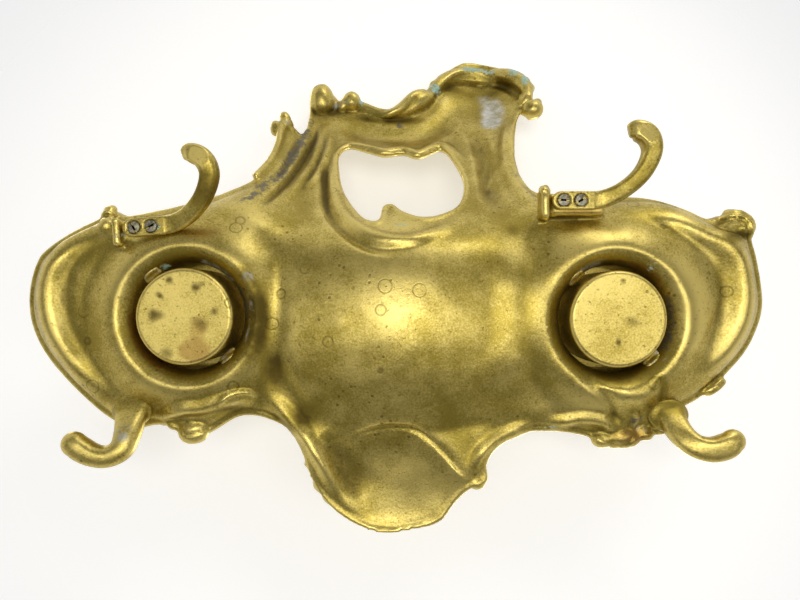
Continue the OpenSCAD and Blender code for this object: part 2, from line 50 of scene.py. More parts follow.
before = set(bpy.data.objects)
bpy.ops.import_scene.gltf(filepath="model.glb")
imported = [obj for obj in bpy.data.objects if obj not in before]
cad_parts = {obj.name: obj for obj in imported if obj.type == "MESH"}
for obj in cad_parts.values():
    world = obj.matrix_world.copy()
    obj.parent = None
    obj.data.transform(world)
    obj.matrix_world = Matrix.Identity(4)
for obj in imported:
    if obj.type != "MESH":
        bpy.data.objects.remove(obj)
CAD_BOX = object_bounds()
MM = 0.001
FAR = 1e9
STAND, LID_LEFT, LID_RIGHT = "stand", "lid_left", "lid_right"


# ---- sizes and colours that a user would change ---------------------------------------------


class CastingSizes(bpy.types.PropertyGroup):
    """Sizes of the relief casting, in millimetres."""

    grain: bpy.props.FloatProperty(
        name="Grain", description="Size of the smallest form in the casting", default=0.8, min=0.5
    )
    triangles: bpy.props.IntProperty(
        name="Triangles", description="Most triangles in the casting", default=190000, min=20000
    )
    wall: bpy.props.FloatProperty(name="Wall", description="Thickness of the casting", default=3.0)
    rim_rise: bpy.props.FloatProperty(
        name="Rim rise", description="How far the rim turns up round the wings", default=8.0
    )
    rim_width: bpy.props.FloatProperty(
        name="Rim width", description="Width of the turned-up rim", default=11.0
    )


class Finish(bpy.types.PropertyGroup):
    """Colours of the metals and stains."""

    # Bright brass is also the colour of the painted light on the brightest patches.
    bright: bpy.props.FloatVectorProperty(
        name="Bright brass", description="Brass where hands have worn it", subtype="COLOR",
        default=(0.70, 0.55, 0.16)
    )
    aged: bpy.props.FloatVectorProperty(
        name="Aged brass", description="Brass on the open surfaces", subtype="COLOR",
        default=(0.36, 0.27, 0.045)
    )
    # Dark brass is also the colour of the painted shade in the hollows, the valleys and under
    # overhangs.
    dark: bpy.props.FloatVectorProperty(
        name="Dark brass", description="Brass in the hollows", subtype="COLOR",
        default=(0.10, 0.068, 0.014)
    )
    verdigris: bpy.props.FloatVectorProperty(
        name="Verdigris", description="Green crust on the crest", subtype="COLOR",
        default=(0.30, 0.50, 0.40)
    )
    solder: bpy.props.FloatVectorProperty(
        name="Solder", description="Grey solder round the joints", subtype="COLOR",
        default=(0.42, 0.42, 0.36)
    )


# ---- drawing of the tray, in millimetres ----------------------------------------------------
# Rows of the edge are [x, y, turn-up], from the right wing to the left by the back.
RIGHT_WING = [
    [117, -70, 0.5], [128, -62.5, 0.8], [140, -51, 1], [149.5, -37, 1], [152.8, -21, 1],
    [149.5, -5, 1], [143.5, 2, 1], [133.5, 8, 1], [126.5, 12.5, 1.1], [121, 17, 1.3],
    [114, 15, 1.1], [100, 17.5, 1], [84, 22.5, 1], [73, 27, 0.6],
]
RIGHT_FLANK = [
    [64, 32.5, 0.3], [59.5, 43, 0], [57.5, 55, 0], [58.5, 69, 0], [53, 67.5, 0],
    [48, 64, 0], [46.5, 76, 0],
]
CREST = [
    [47, 89, 0], [42, 98, 0], [35.5, 93, 0], [30, 86.5, 0], [23.5, 90, 0], [17, 84, 0],
    [8, 80.5, 0], [-2, 81.5, 0], [-9, 90, 0], [-20, 99, 0], [-29.5, 109.5, 0],
    [-39, 114.8, 0], [-50, 113.5, 0], [-62, 109, 0], [-73, 102.5, 0], [-72.5, 95, 0],
]
LEFT_FLANK = [[-66, 80, 0], [-60, 66, 0], [-56.5, 52, 0], [-55.5, 37, 0.2], [-60, 27.5, 0.6]]
LEFT_WING = [
    [-70, 24, 0.9], [-90, 23.7, 1], [-108, 23, 1], [-122, 18.3, 1], [-131, 13.5, 1.1],
    [-139, 15, 1.3], [-145.5, 13, 1.2], [-149, 2, 1], [-152.8, -21, 1], [-149, -36.5, 1],
    [-139.5, -50, 1], [-126, -61.5, 0.8], [-116, -67, 0.5],
]
LEFT_FRONT = [
    [-112, -75.5, 0.4], [-99, -77.5, 0.4], [-94, -81.5, 0.4], [-86, -81.5, 0.4],
    [-79.5, -77.5, 0.4], [-69, -75.4, 0.4], [-55, -75, 0.3], [-43, -79, 0.2], [-37, -87, 0.1],
]
LIP = [
    [-37, -94, 0], [-31, -96.3, 0], [-24.5, -101.5, 0], [-18, -110, 0], [-9, -113, 0],
    [6, -114.8, 0], [20, -109.5, 0], [31, -99, 0], [38.5, -82.2, 0.1],
]
RIGHT_FRONT = [
    [46, -72.5, 0.2], [57.5, -68.3, 0.3], [66, -69.5, 0.4], [76, -75.5, 0.4],
    [84.5, -78, 0.4], [90, -74, 0.4], [97, -72, 0.4], [108, -74, 0.4],
]
EDGE = RIGHT_WING + RIGHT_FLANK + CREST + LEFT_FLANK + LEFT_WING + LEFT_FRONT + LIP + RIGHT_FRONT
WINDOW = [
    [28, 50], [23.8, 55.2], [14, 52.2], [6, 49.6], [-3.5, 50.8], [-11, 48.2], [-22, 53.6],
    [-27.5, 45.5], [-31, 33], [-28, 21.5], [-20.5, 16], [-11, 14.2], [-3, 17],
    [1.5, 20.8], [5.8, 19.6], [7.2, 12.6], [12.8, 13], [18.5, 19], [24, 28.5], [27.3, 40],
]
WELLS = {-1: (-87.5, -28.5), 1: (83.0, -27.5)}
DECK, GALLERY, GALLERY_Y, CREST_Y = 14.0, 100.0, 5.0, 114.8
WELL_R, NECK_R, NECK_TOP = 21.6, 24.8, 33.0
RING_R, RING_DROP, RING_RUN = 27.6, 6.0, 17.0
# Swellings of the casting: middle, half sizes, height and how steeply each rises.
DISH = ((-2, -33), (70, 54), 10, 1.6)
SPOON = ((4, -94), (32, 22), 5, 1)
BAND = ((-6, 70), (64, 24), 4, 1.5)
SHELL = ((-52, 92), (27, 30), 5, 1.5)


def spline(points, steps, closed=False):
    """A smooth curve through the points, with that many steps between each two."""
    p = np.asarray(points, float)
    n = len(p)
    t = (np.arange(steps) / steps)[:, None]
    out = []
    for i in range(n if closed else n - 1):
        if closed:
            a, b, c, d = p[i - 1], p[i], p[(i + 1) % n], p[(i + 2) % n]
        else:
            a, b, c, d = p[max(i - 1, 0)], p[i], p[i + 1], p[min(i + 2, n - 1)]
        cubic = (3 * b - 3 * c + d - a) * t**3 + (2 * a - 5 * b + 4 * c - d) * t**2
        out.append(0.5 * (2 * b + (c - a) * t + cubic))
    if not closed:
        out.append(p[-1:])
    return np.concatenate(out)


def smooth(t):
    """0 to 1 as t goes from 0 to 1, easing in and out."""
    c = np.clip(t, 0, 1)
    return c * c * (3 - 2 * c)


def swelling(x, y, centre, radii, height, power):
    """Height of a rounded swelling over an oval."""
    share = 1 - ((x - centre[0]) / radii[0]) ** 2 - ((y - centre[1]) / radii[1]) ** 2
    return height * np.maximum(0, share) ** power


def gallery(x, y):
    """Height of the back gallery over the deck. It starts later towards its sides, and steepens
    less and less."""
    late = 9 * smooth((np.abs(x) - 40) / 26)
    t = 4 * np.logaddexp(0, (y - GALLERY_Y - late) / 4)
    return GALLERY * (1 - np.maximum(1 - t / (CREST_Y - GALLERY_Y), 0) ** 1.35)


def deck(x, y):
    """Height of the casting's underside, without its rim."""
    front = smooth((-68.5 - y) / 7) * smooth((45 - np.abs(x)) / 12)
    dish = swelling(x, y, *DISH)
    ring = 0
    for cx, cy in WELLS.values():
        ring = ring + RING_DROP * (1 - smooth((np.hypot(x - cx, y - cy) - RING_R) / RING_RUN))
    hollow = -((dish**3 + ring**3) ** (1 / 3))
    lip = swelling(x, y, *SPOON) - 2
    band, shell = swelling(x, y, *BAND), swelling(x, y, *SHELL)
    return DECK + gallery(x, y) + band + shell + (1 - front) * hollow + front * lip


def slope(x, y):
    """How steep the underside is, along x and along y."""
    gx = deck(x + 0.5, y) - deck(x - 0.5, y)
    gy = deck(x, y + 0.5) - deck(x, y - 0.5)
    return gx, gy


def inside(points, loop):
    """Which points lie inside a closed loop."""
    hit = np.zeros(len(points), bool)
    x, y = points[:, 0], points[:, 1]
    for (ax, ay), (bx, by) in zip(loop, np.roll(loop, -1, 0)):
        if ay == by:
            continue
        crosses = (ay > y) != (by > y)
        hit ^= crosses & (x < (bx - ax) * (y - ay) / (by - ay) + ax)
    return hit


class Plan:
    """Values laid over the tray's plan on a fine grid, and read back at any point."""

    def __init__(self):
        self.step = 0.5
        self.low = np.array([-156.0, -118.0])
        self.x = np.arange(self.low[0], 156.01, self.step)
        self.y = np.arange(self.low[1], 118.01, self.step)
        self.gx, self.gy = np.meshgrid(self.x, self.y, indexing="ij")

    def layer(self):
        return np.zeros_like(self.gx)

    def window(self, path, margin):
        """The grid's part within a margin of a path."""
        low = ((path.min(0)[:2] - margin - self.low) / self.step).astype(int)
        high = ((path.max(0)[:2] + margin - self.low) / self.step).astype(int) + 2
        low = np.maximum(low, 0)
        return slice(low[0], max(high[0], low[0])), slice(low[1], max(high[1], low[1]))

    def nearest(self, path, margin, closed=False):
        """Window, distance, side and share along it of the nearest point of a path."""
        window = self.window(path, margin)
        px, py = self.gx[window], self.gy[window]
        best = np.full(px.shape, FAR)
        side = np.zeros(px.shape)
        along = np.zeros(px.shape)
        ends = np.roll(path, -1, 0) if closed else path[1:]
        for k, (a, b) in enumerate(zip(path, ends)):
            ab = (b - a)[:2]
            size = max(ab @ ab, 1e-9)
            t = np.clip(((px - a[0]) * ab[0] + (py - a[1]) * ab[1]) / size, 0, 1)
            dx, dy = px - a[0] - t * ab[0], py - a[1] - t * ab[1]
            d = np.hypot(dx, dy)
            near = d < best
            best = np.where(near, d, best)
            side = np.where(near, np.sign(ab[0] * dy - ab[1] * dx), side)
            along = np.where(near, k + t, along)
        return window, best, side, along

    def read(self, layer, x, y):
        """A layer's value at points, by linear interpolation."""
        u = np.clip((x - self.low[0]) / self.step, 0, len(self.x) - 1.001)
        v = np.clip((y - self.low[1]) / self.step, 0, len(self.y) - 1.001)
        i, j = u.astype(int), v.astype(int)
        u, v = u - i, v - j
        low = layer[i, j] * (1 - u) + layer[i + 1, j] * u
        high = layer[i, j + 1] * (1 - u) + layer[i + 1, j + 1] * u
        return low * (1 - v) + high * v


def ridge(plan, layer, path, width, height, steps=6, form="soft", ends=0.3):
    """Raises, or with a negative height sinks, a strip of a layer along a path, fading in over
    a share of it at both ends.
    form is soft, round or lap; a lap falls away slowly on the left of the path only."""
    line = spline(path, steps)
    reach = width * (3 if form == "lap" else 1.05)
    window, d, side, along = plan.nearest(line, reach)
    share = along / (len(line) - 1)
    taper = smooth(np.minimum(share, 1 - share) / ends) if ends else 1.0
    if form == "soft":
        shape = np.where(d < width, 0.5 + 0.5 * np.cos(np.pi * np.minimum(d / width, 1)), 0)
    elif form == "round":
        shape = np.sqrt(np.maximum(0, 1 - (d / width) ** 2))
    else:
        sharp = 0.45
        signed = d * side
        shape = np.exp(-np.maximum(signed, 0) / width) * smooth(0.5 + signed / 2 / sharp)
        shape = shape * (d < reach)
    layer[window] += height * shape * taper


def blob(plan, layer, x, y, rx, ry, height, turn=0.0, power=1.0):
    """Adds a soft oval to a layer."""
    a = math.radians(turn)
    reach = max(rx, ry)
    window = plan.window(np.array([[x, y]]), reach)
    dx, dy = plan.gx[window] - x, plan.gy[window] - y
    u = (dx * math.cos(a) + dy * math.sin(a)) / rx
    v = (-dx * math.sin(a) + dy * math.cos(a)) / ry
    layer[window] += height * smooth(1 - np.hypot(u, v)) ** power


# ---- relief of the casting ------------------------------------------------------------------
# Each row is a form, its half width, its height over the surface and the path it follows.
UNDER_STROKES = (
    ("soft", 7, 2, [[108, 12.5], [119, 9.7], [127.1, 6], [135, -0.5], [140.4, -10.9],
        [141.4, -21], [139.4, -31.1], [134.8, -40.8], [128.2, -50], [120, -58], [112, -64]]),
    ("soft", 5, -0.7, [[114, 4.6], [124.1, 0.3], [131.3, -6.6], [133.8, -14.9], [133.8, -23],
        [131.5, -33], [126, -42], [118, -50]]),
    ("soft", 7, 2, [[-80, 19.5], [-91, 19.3], [-103.5, 18.6], [-113, 15.5], [-122, 9.8],
        [-132.5, 3], [-139.5, -5.8], [-141.5, -18], [-139.4, -30.1], [-132.9, -42.2],
        [-124, -50.3], [-112, -58]]),
    ("soft", 4.6, -0.7, [[-85, 12.7], [-99.9, 11.2], [-111.1, 7.8], [-122, 1], [-130.4, -7.8],
        [-133, -19], [-129.3, -31.1], [-122, -40.4], [-112, -47]]),
    ("soft", 2.2, -1.2, [[-130, 10], [-136, 8.2], [-142.5, 6.4], [-146, 4]]),
    ("soft", 2.8, -1.8, [[41.5, 72.8], [42.8, 59.9], [45.4, 46.3], [49.3, 33.6], [54.2, 22.8],
        [56.3, 18.9]]),
    ("soft", 3.4, 1.7, [[38, 72], [38.5, 57], [41, 43], [45, 31], [50, 20]]),
    ("soft", 3, 1.3, [[34.7, 67.4], [33.9, 53.2], [36.6, 37.4], [41.5, 28.5]]),
    ("soft", 2.6, -1.4, [[49, 66], [50, 52], [52, 41], [56, 31]]),
    ("soft", 3.4, -1.6, [[31.5, 53.3], [33.3, 40.4], [32.1, 25.8], [28, 15.1], [20.8, 6.8],
        [12.2, 0.9], [2.3, -1.2], [-7.6, 0.4]]),
    ("soft", 4, 2, [[28, 53.3], [29.5, 40.4], [28, 28.6], [23.1, 16.6], [15.6, 8.7], [6.3, 3.9],
        [-3.7, 3], [-11.8, 4.8], [-22.5, 10.1], [-29.8, 18.7]]),
    ("round", 3.2, 0.6, [[-18.2, 90], [-23, 98.8], [-29.5, 105.5], [-38.2, 109.4], [-47.4, 109],
        [-55.6, 106.4], [-60.3, 103.8], [-65.4, 101], [-69, 96.4], [-69.6, 91]]),
    ("soft", 3.4, -1, [[-21.4, 88.6], [-27.3, 97.1], [-35.6, 103.5], [-44.3, 104],
        [-52.4, 100.6], [-59.8, 96.4], [-66.3, 87.8], [-67.9, 79.8]]),
    ("soft", 3.4, 1.8, [[27.4, 80.2], [19.8, 79.1], [9, 76.6], [1, 79.4], [-4.4, 84.1],
        [-9.9, 90], [-15.5, 94.1]]),
    ("soft", 2.2, -0.9, [[20.4, -77.3], [14.4, -74.5], [4.3, -72.3], [-3.7, -72.2],
        [-9.7, -73.9], [-14.6, -78.1], [-19.8, -83.4]]),
    ("lap", 4, 1, [[-9.7, -73.9], [-14.6, -78.1], [-19.8, -83.4], [-25, -89.4], [-28.2, -93.2]]),
    ("soft", 4.6, 2, [[-30.6, -92], [-33.8, -83.3], [-40.1, -77.7], [-48.5, -73.9],
        [-56.6, -71.9]]),
    ("soft", 5, 2.4, [[54.2, -60.7], [46.9, -64.7], [40.4, -71.6], [35.3, -77.3], [30.5, -85.4],
        [26.7, -93.9], [20.6, -102.2]]),
    ("soft", 2, -0.4, [[57, -64.5], [50, -68], [44, -73.5], [38.5, -81], [34, -89]]),
    ("soft", 4.4, 2.2, [[100.6, -73.4], [93.9, -68.2], [85.2, -64.7], [77.2, -63.9],
        [69.1, -61.5], [61.1, -60.3], [54.2, -60.7]]),
    ("soft", 1.5, 1.1, [[70.4, -62.3], [69.1, -59.8], [65, -57.8], [59, -57.8], [55.4, -61.1]]),
    ("soft", 4.4, 2, [[-58.7, -71.5], [-66.7, -70.6], [-74.7, -68.8], [-81.9, -69.6],
        [-87.5, -71.6], [-94.2, -72.9]]),
    ("soft", 9, -2.4, [[36, 74], [24, 68.5], [12, 65], [0, 63.5], [-12, 64.5], [-22, 70],
        [-29, 80], [-33, 90]]),
    ("soft", 3.6, 2, [[27, 52], [23.8, 58], [14, 55], [6, 52.4], [-3.5, 53.6], [-11, 51.2],
        [-22, 57], [-30, 49], [-33.5, 35]]),
    ("soft", 8, -1.5, [[51, -6], [50, -20], [50, -34], [48.5, -46], [44.5, -56], [38, -64],
        [31, -71]]),
    ("soft", 6, 1.1, [[-87, -58], [-95.5, -59.7], [-104, -58]]),
    ("soft", 3.8, -1.1, [[-70, -49], [-78, -54.5], [-84.8, -61.1], [-88, -68], [-89, -74]]),
    ("soft", 14, 2.4, [[-47, 6], [-49, -12], [-49, -30], [-47, -46], [-42, -60]]),
    ("soft", 3, -1.1, [[-104, -50], [-106.5, -58], [-107, -66], [-103, -72]]),
    ("soft", 2.2, 0.8, [[-95, -64], [-97, -69], [-95, -74]]),
    ("soft", 5, 2.3, [[-60.4, 72.7], [-54.4, 57.8], [-52.3, 40.9], [-55.1, 27], [-59.6, 17.5]]),
    ("soft", 6.5, -2.7, [[-39.6, 71.6], [-41.8, 57], [-42.4, 42.1], [-42, 28.5], [-44.8, 16.9]]),
    ("soft", 6.5, 1.2, [[33.4, -77.2], [28.8, -85.7], [24.9, -94.2], [18.7, -102.7],
        [11, -108.2]]),
    ("soft", 10, -1.3, [[30, -74], [24.4, -82], [18.7, -91.9], [11.3, -100.1]]),
)


# The same for the upper side.
TOP_STROKES = (
    ("soft", 2.6, 1.6, [[112, -50], [124, -44], [133, -32], [136.5, -20], [133, -6], [124, 2],
        [116, 2], [113, -4], [117, -8]]),
    ("soft", 2.6, 1.6, [[-114, -48], [-126, -42], [-134, -30], [-136.5, -16], [-131, -2],
        [-120, 8], [-110, 10], [-106, 4], [-111, 0]]),
    ("soft", 3, 2, [[66, 24], [54, 30], [49, 42], [48, 56], [44, 68], [36, 76], [30, 72],
        [32, 66]]),
    ("soft", 3, 2, [[-72, 18], [-58, 24], [-50, 36], [-49, 52], [-53, 66], [-58, 76]]),
    ("soft", 2.8, 1.8, [[33, 56], [35, 40], [32, 26], [24, 14], [12, 7], [2, 10], [2, 15]]),
    ("soft", 2.8, 1.8, [[-33, 52], [-37, 36], [-35, 22], [-26, 12], [-14, 7], [-6, 8]]),
    ("soft", 2.6, 1.6, [[50, -62], [42, -68], [36, -76], [33, -84], [37, -88], [41, -84]]),
    ("soft", 2.6, 1.6, [[-54, -66], [-44, -70], [-38, -78], [-34, -86]]),
    ("soft", 2.6, 1.4, [[104, -68], [94, -62], [80, -60], [66, -58], [56, -56]]),
    ("soft", 2.6, 1.4, [[-106, -66], [-94, -66], [-80, -64], [-66, -64], [-56, -66]]),
)
# Each leaf is its half width and the path of its middle rib, from the stalk to the tip.
LEAVES = (
    (8, [[62, 6], [70, 14], [82, 17], [96, 12]]),
    (7, [[-58, 6], [-66, 15], [-78, 19], [-92, 16]]),
    (7, [[118, -56], [112, -62], [102, -66], [94, -70]]),
    (7, [[-118, -54], [-112, -60], [-102, -65], [-92, -70]]),
    (8, [[40, 30], [42, 46], [40, 62], [34, 76], [24, 84]]),
    (8, [[-46, 26], [-44, 42], [-42, 56], [-46, 68]]),
    (6.5, [[22, 60], [12, 62], [0, 62], [-12, 64], [-24, 72]]),
    (6, [[128, -38], [131, -24], [128, -12]]),
    (6, [[-128, -38], [-131, -22], [-127, -8]]),
    (7, [[46, -56], [36, -64], [22, -66], [10, -66]]),
    (7, [[-46, -58], [-36, -66], [-24, -68], [-12, -66]]),
)


LEAF_HEIGHT = 1.3
# Each shell is its root, radius, first and last angle, number of flutes and height.
SHELLS = (((-46, 70), 43, 42, 142, 9, 2.0), ((3, -70), 44, 215, 322, 11, 1.8))
# Petals round the foot of each well: degrees from one to the next, and their ring's radius.
PETAL_STEP, PETAL_R = 24, 35.5


def leaf(plan, layer, half_width, rib):
    """A carved leaf: a rib with lobes that spring from both sides of it."""
    ridge(plan, layer, rib, 1.3, LEAF_HEIGHT * 0.8, ends=0.1)
    line = spline(rib, 12)
    way = np.gradient(line, axis=0)
    way /= np.linalg.norm(way, axis=1)[:, None]
    count = max(3, int(len(line) / 10))
    for share in (np.arange(count) + 0.5) / count:
        at = int(share * (len(line) - 1))
        grow = half_width * math.sin(math.pi * (0.15 + 0.8 * share)) ** 0.7
        for side in (-1, 1):
            turn = side * math.radians(58 - 22 * share)
            out = np.array([[math.cos(turn), -math.sin(turn)], [math.sin(turn), math.cos(turn)]])
            tip = line[at] + out @ way[at] * grow
            bend = line[at] + out @ way[at] * grow * 0.5 + way[at] * grow * 0.12
            lobe = [line[at], bend, tip]
            ridge(plan, layer, lobe, grow * 0.42, LEAF_HEIGHT, steps=3, ends=0.0)


def fan(plan, layer, root, radius, start, end, flutes, height):
    """A shell: flutes that open out from a root between two angles, in degrees."""
    dx, dy = plan.gx - root[0], plan.gy - root[1]
    far = np.hypot(dx, dy) / radius
    turn = (np.degrees(np.arctan2(dy, dx)) - start) % 360
    share = turn / (end - start)
    wave = np.abs(np.sin(np.pi * flutes * share))
    inside_fan = (share <= 1) * smooth((far - 0.12) / 0.2) * smooth((1.0 - far) / 0.1)
    layer += height * wave * inside_fan * (0.4 + 0.6 * far)


# Mouldings along the edge and round the window, on both sides of the casting: each row is how
# far it runs from the edge, its half width and its height.
EDGE_UNDER = ((0.9, 1.0, 0.45), (2.7, 1.5, -0.8))
EDGE_TOP = ((1.2, 1.4, 0.9), (3.5, 1.3, -0.6), (5.6, 1.6, 0.7))
WINDOW_UNDER = ((1.3, 1.6, 0.7),)
WINDOW_TOP = ((1.4, 1.5, 0.9), (3.6, 1.2, -0.6))


def edge_mouldings(layer, distance, turn, rows):
    """Adds mouldings that run along an edge, stronger where it turns up."""
    for place, width, height in rows:
        layer += height * turn * smooth(1 - np.abs(distance - place) / width)


def underside_relief(plan, rim, window_gap):
    """Relief of the hollow underside; what is positive stands out downwards."""
    layer = plan.layer()
    blob(plan, layer, -7, -93, 30, 22, 1.8, -12)
    share = np.clip(rim["turn"], 0.25, 1)
    edge_mouldings(layer, rim["distance"], share, EDGE_UNDER)
    edge_mouldings(layer, window_gap, 1.0, WINDOW_UNDER)
    for form, width, height, path in UNDER_STROKES:
        ridge(plan, layer, path, width, height, form=form)
    dents(plan, layer)
    return layer


def topside_relief(plan, rim, window_gap):
    """Relief of the upper side: mouldings, scrolls, leaves and two shells."""
    layer = plan.layer()
    share = np.clip(rim["turn"], 0.45, 1)
    edge_mouldings(layer, rim["distance"], share, EDGE_TOP)
    edge_mouldings(layer, window_gap, 1.0, WINDOW_TOP)
    for form, width, height, path in TOP_STROKES:
        ridge(plan, layer, path, width, height, form=form)
    for half_width, rib in LEAVES:
        leaf(plan, layer, half_width, rib)
    for shell in SHELLS:
        fan(plan, layer, *shell)
    for cx, cy in WELLS.values():
        for turn in range(0, 360, PETAL_STEP):
            a = math.radians(turn)
            x, y = cx + PETAL_R * math.cos(a), cy + PETAL_R * math.sin(a)
            blob(plan, layer, x, y, 5.5, 3.2, 1.6, turn)
    return layer


# Stains of the underside, with painted shade and painted light among them: rows of x, y, half
# length, half width, strength and turn.
STAINS = {
    "verdigris": (
        (-21, 94.5, 4, 3.4, 1, 50), (-43, 109, 9, 2.6, 1.1, 2), (-64.5, 104.5, 4.4, 3.2, 1.1, -30),
        (-69.5, 98.5, 2.6, 5, 1.1, 10), (18.8, 86, 1.8, 3.2, 1, 0), (-52, 106, 4, 2, 0.6, 0),
        (-102, -8, 4, 3, 0.45, 40), (27, 85, 5, 1.4, 0.5, 0), (-3, 10, 5, 2, 0.5, 0),
        (110, 5, 4, 2, 0.5, 0), (-64, -73, 8, 1.4, 0.5, 0), (66, -8, 3, 5, 0.3, 30),
    ),
    "grey": (
        (32, 83.5, 3.4, 3, 0.9, 0), (46, 72, 3, 5, 0.6, 0), (107, -72, 5, 3.4, 0.9, 20),
        (-99, -73, 6, 3.4, 0.5, 0), (55, 69, 2.6, 3, 0.7, 0), (-45, 26, 5, 6, 0.4, 0),
        (58.5, -12, 3, 3, 0.8, 0), (57.5, -22, 1.4, 6, 0.7, -20), (-90, -16, 4, 3, 0.4, 0),
    ),
    "lead": (
        (47.5, 62, 3.4, 12, 1, 8), (50.5, 46, 3.2, 10, 1, 14), (56.5, 31, 3.4, 9, 0.9, 38),
        (62, 22.5, 5, 2, 0.8, -30), (-1.7, 71.8, 2.6, 2.2, 1, 0), (36.5, 55, 2, 8, 0.5, 4),
        (-54, 36, 3, 4, 0.5, 0), (-97, -69, 4, 2.4, 0.7, -30), (-98, -12, 3, 2, 0.6, 0),
    ),
    "wax": ((-51.5, 80.5, 6.4, 11.0, 1.3, 6), (-49, 71.5, 6, 4, 0.9, 0), (-46, 90, 4, 4, 0.6, 0)),
    "red": (
        (-96, -76, 9, 4, 1.1, 0), (70, -34, 10, 14, 0.5, 20), (-74, 15, 13, 2.6, 1.0, 0),
        (95, 2, 14, 5, 0.4, 0), (-110, -62, 9, 6, 0.4, 0), (30, -8, 14, 9, 0.25, 0),
        (78, 6, 12, 4, 0.7, 0),
    ),
    # soot_and_shade rows: a little soot, and mostly painted shade in the valleys, under the crest's
    # rolls and knobs and under the curled tips.
    "soot_and_shade": (
        (50, -52, 6, 11, 0.65, 25), (36, -68, 9, 5, 0.55, -42), (22, -88, 14, 8, 0.25, 55),
        (54, -30, 4.6, 17, 0.75, 2),
        (53, 6, 5, 12, 0.4, 20), (41, 54, 2, 14, 0.7, 4), (33, 34, 2.6, 14, 0.7, -14),
        (-30, 96, 14, 3.4, 0.5, 18), (-56, 95, 10, 3.4, 0.6, -32), (5, 75, 22, 2.6, 0.9, 2),
        (38, 80, 10, 3, 0.9, 0), (-138, 5, 9, 2.6, 1.0, -10), (-88, -67, 3, 8, 0.15, 10),
        (-131, -20, 2, 14, 0.35, 0), (120, -2, 10, 4, 0.3, -30), (14, -98, 8, 10, 0.3, 0),
        (66, -66, 16, 3, 0.4, 8), (-48, 8, 3, 3, 0.6, 0), (26, -60, 20, 4, 0.3, -20),
        (-26, -36, 16, 14, 0.25, 0), (36, -42, 14, 16, 0.3, 0),
        (44, 44, 8, 18, 0.35, 10), (45, -72, 8, 5, 0.5, -40),
    ),
    # worn rows: wear, and painted light where light falls on the dish, the lip and the left wing's
    # floor.
    "worn": (
        (3, -19, 11, 9, 1.3, 30), (-1, -12, 7, 5, 0.7, 0), (12, 12, 40, 16, 0.45, 0),
        (-10, -94, 20, 13, 1.2, 0), (-30, -16, 22, 26, 0.25, 0), (0, -3, 26, 5, 0.5, 0),
        (60, 8, 12, 10, 0.35, 0), (110, -64, 6, 5, 0.8, 0), (-118, -22, 13, 20, 1.2, 0),
        (-74, -62, 18, 6, 1.2, 0), (0, 61, 22, 4, 0.7, 0),
        (4, 10, 20, 4, 0.9, 0), (108, -18, 4, 18, 0.5, 0), (92, -56, 16, 3.4, 0.6, 0),
        (-76, 0, 16, 3.4, 0.6, 0), (-112, -12, 4, 16, 0.5, 20), (-117, 14, 16, 3, 0.6, -25),
        (-136, -36, 4, 12, 0.4, -20), (137, -28, 3.4, 18, 0.6, 8), (-95, -59, 7, 3, 0.6, 0),
    ),
}
# How much farther a stain reaches than its half sizes, because a blob fades to its edge.
STAIN_SPREAD = 1.6
# Stains in the two rings: well, stain, distance from its middle, half width, from and to in
# degrees, strength.
RING_STAINS = (
    (1, "grey", 22.6, 2.0, 92, 150, 0.9), (1, "lead", 23.4, 2.2, 140, 190, 0.8),
    (1, "grey", 25.0, 1.2, 170, 215, 0.9), (1, "verdigris", 22.2, 1.8, 52, 74, 1.2),
    (1, "verdigris", 21.8, 1.4, 18, 36, 0.9), (1, "red", 22.6, 2.6, -70, 10, 1.4),
    # The soot_and_shade rows darken each ring's inner slope with grime, painted shade and a painted
    # reflection of the pot's dark wall, and paint the shade in the valley on the inner side of the
    # right ring.
    (1, "soot_and_shade", 24.0, 5.0, -180, 180, 0.62),
    (1, "soot_and_shade", 29.5, 5.0, 130, 225, 0.8), (-1, "soot_and_shade", 24.0, 5.0, -180, 180, 0.62),
    (-1, "grey", 23.2, 2.6, 40, 88, 0.9), (-1, "lead", 23.0, 2.6, 150, 222, 1.0),
    (-1, "grey", 25.4, 1.2, 196, 232, 0.9), (-1, "red", 23.4, 2.0, 100, 150, 0.9),
)


def stains(plan):
    """How strong each stain, painted shade and painted light of the underside is over the plan."""
    found = {}
    for name, rows in STAINS.items():
        layer = plan.layer()
        for x, y, rx, ry, strength, turn in rows:
            blob(plan, layer, x, y, rx * STAIN_SPREAD, ry * STAIN_SPREAD, strength, turn)
        found[name] = layer
    for side, name, radius, width, start, end, strength in RING_STAINS:
        cx, cy = WELLS[side]
        far = np.hypot(plan.gx - cx, plan.gy - cy)
        turn = (np.degrees(np.arctan2(plan.gy - cy, plan.gx - cx)) - start) % 360
        span = end - start
        run = smooth(np.minimum(turn, span - turn) / 14) if span < 360 else 1.0
        found[name] += strength * smooth(1 - np.abs(far - radius) / width) * run * (turn <= span)
    return found


def dents(plan, layer, count=150, deepest=0.2):
    """Adds the shallow unevenness that casting and handling leave."""
    random = np.random.default_rng(7)
    for x, y, radius, height in zip(
        random.uniform(-150, 150, count), random.uniform(-112, 112, count),
        random.uniform(5, 14, count), random.uniform(-deepest, deepest, count)
    ):
        blob(plan, layer, x, y, radius, radius * 0.8, height, x * 7)


# ---- meshes ---------------------------------------------------------------------------------


def mesh_object(name, points, faces):
    """A mesh object from points in millimetres."""
    mesh = bpy.data.meshes.new(name)
    mesh.from_pydata((np.asarray(points) * MM).tolist(), [], [list(f) for f in faces])
    mesh.update()
    obj = bpy.data.objects.new(name, mesh)
    bpy.context.scene.collection.objects.link(obj)
    return obj


def only(obj):
    """Makes obj the one selected and active object."""
    bpy.ops.object.select_all(action="DESELECT")
    obj.select_set(True)
    bpy.context.view_layer.objects.active = obj
    return obj


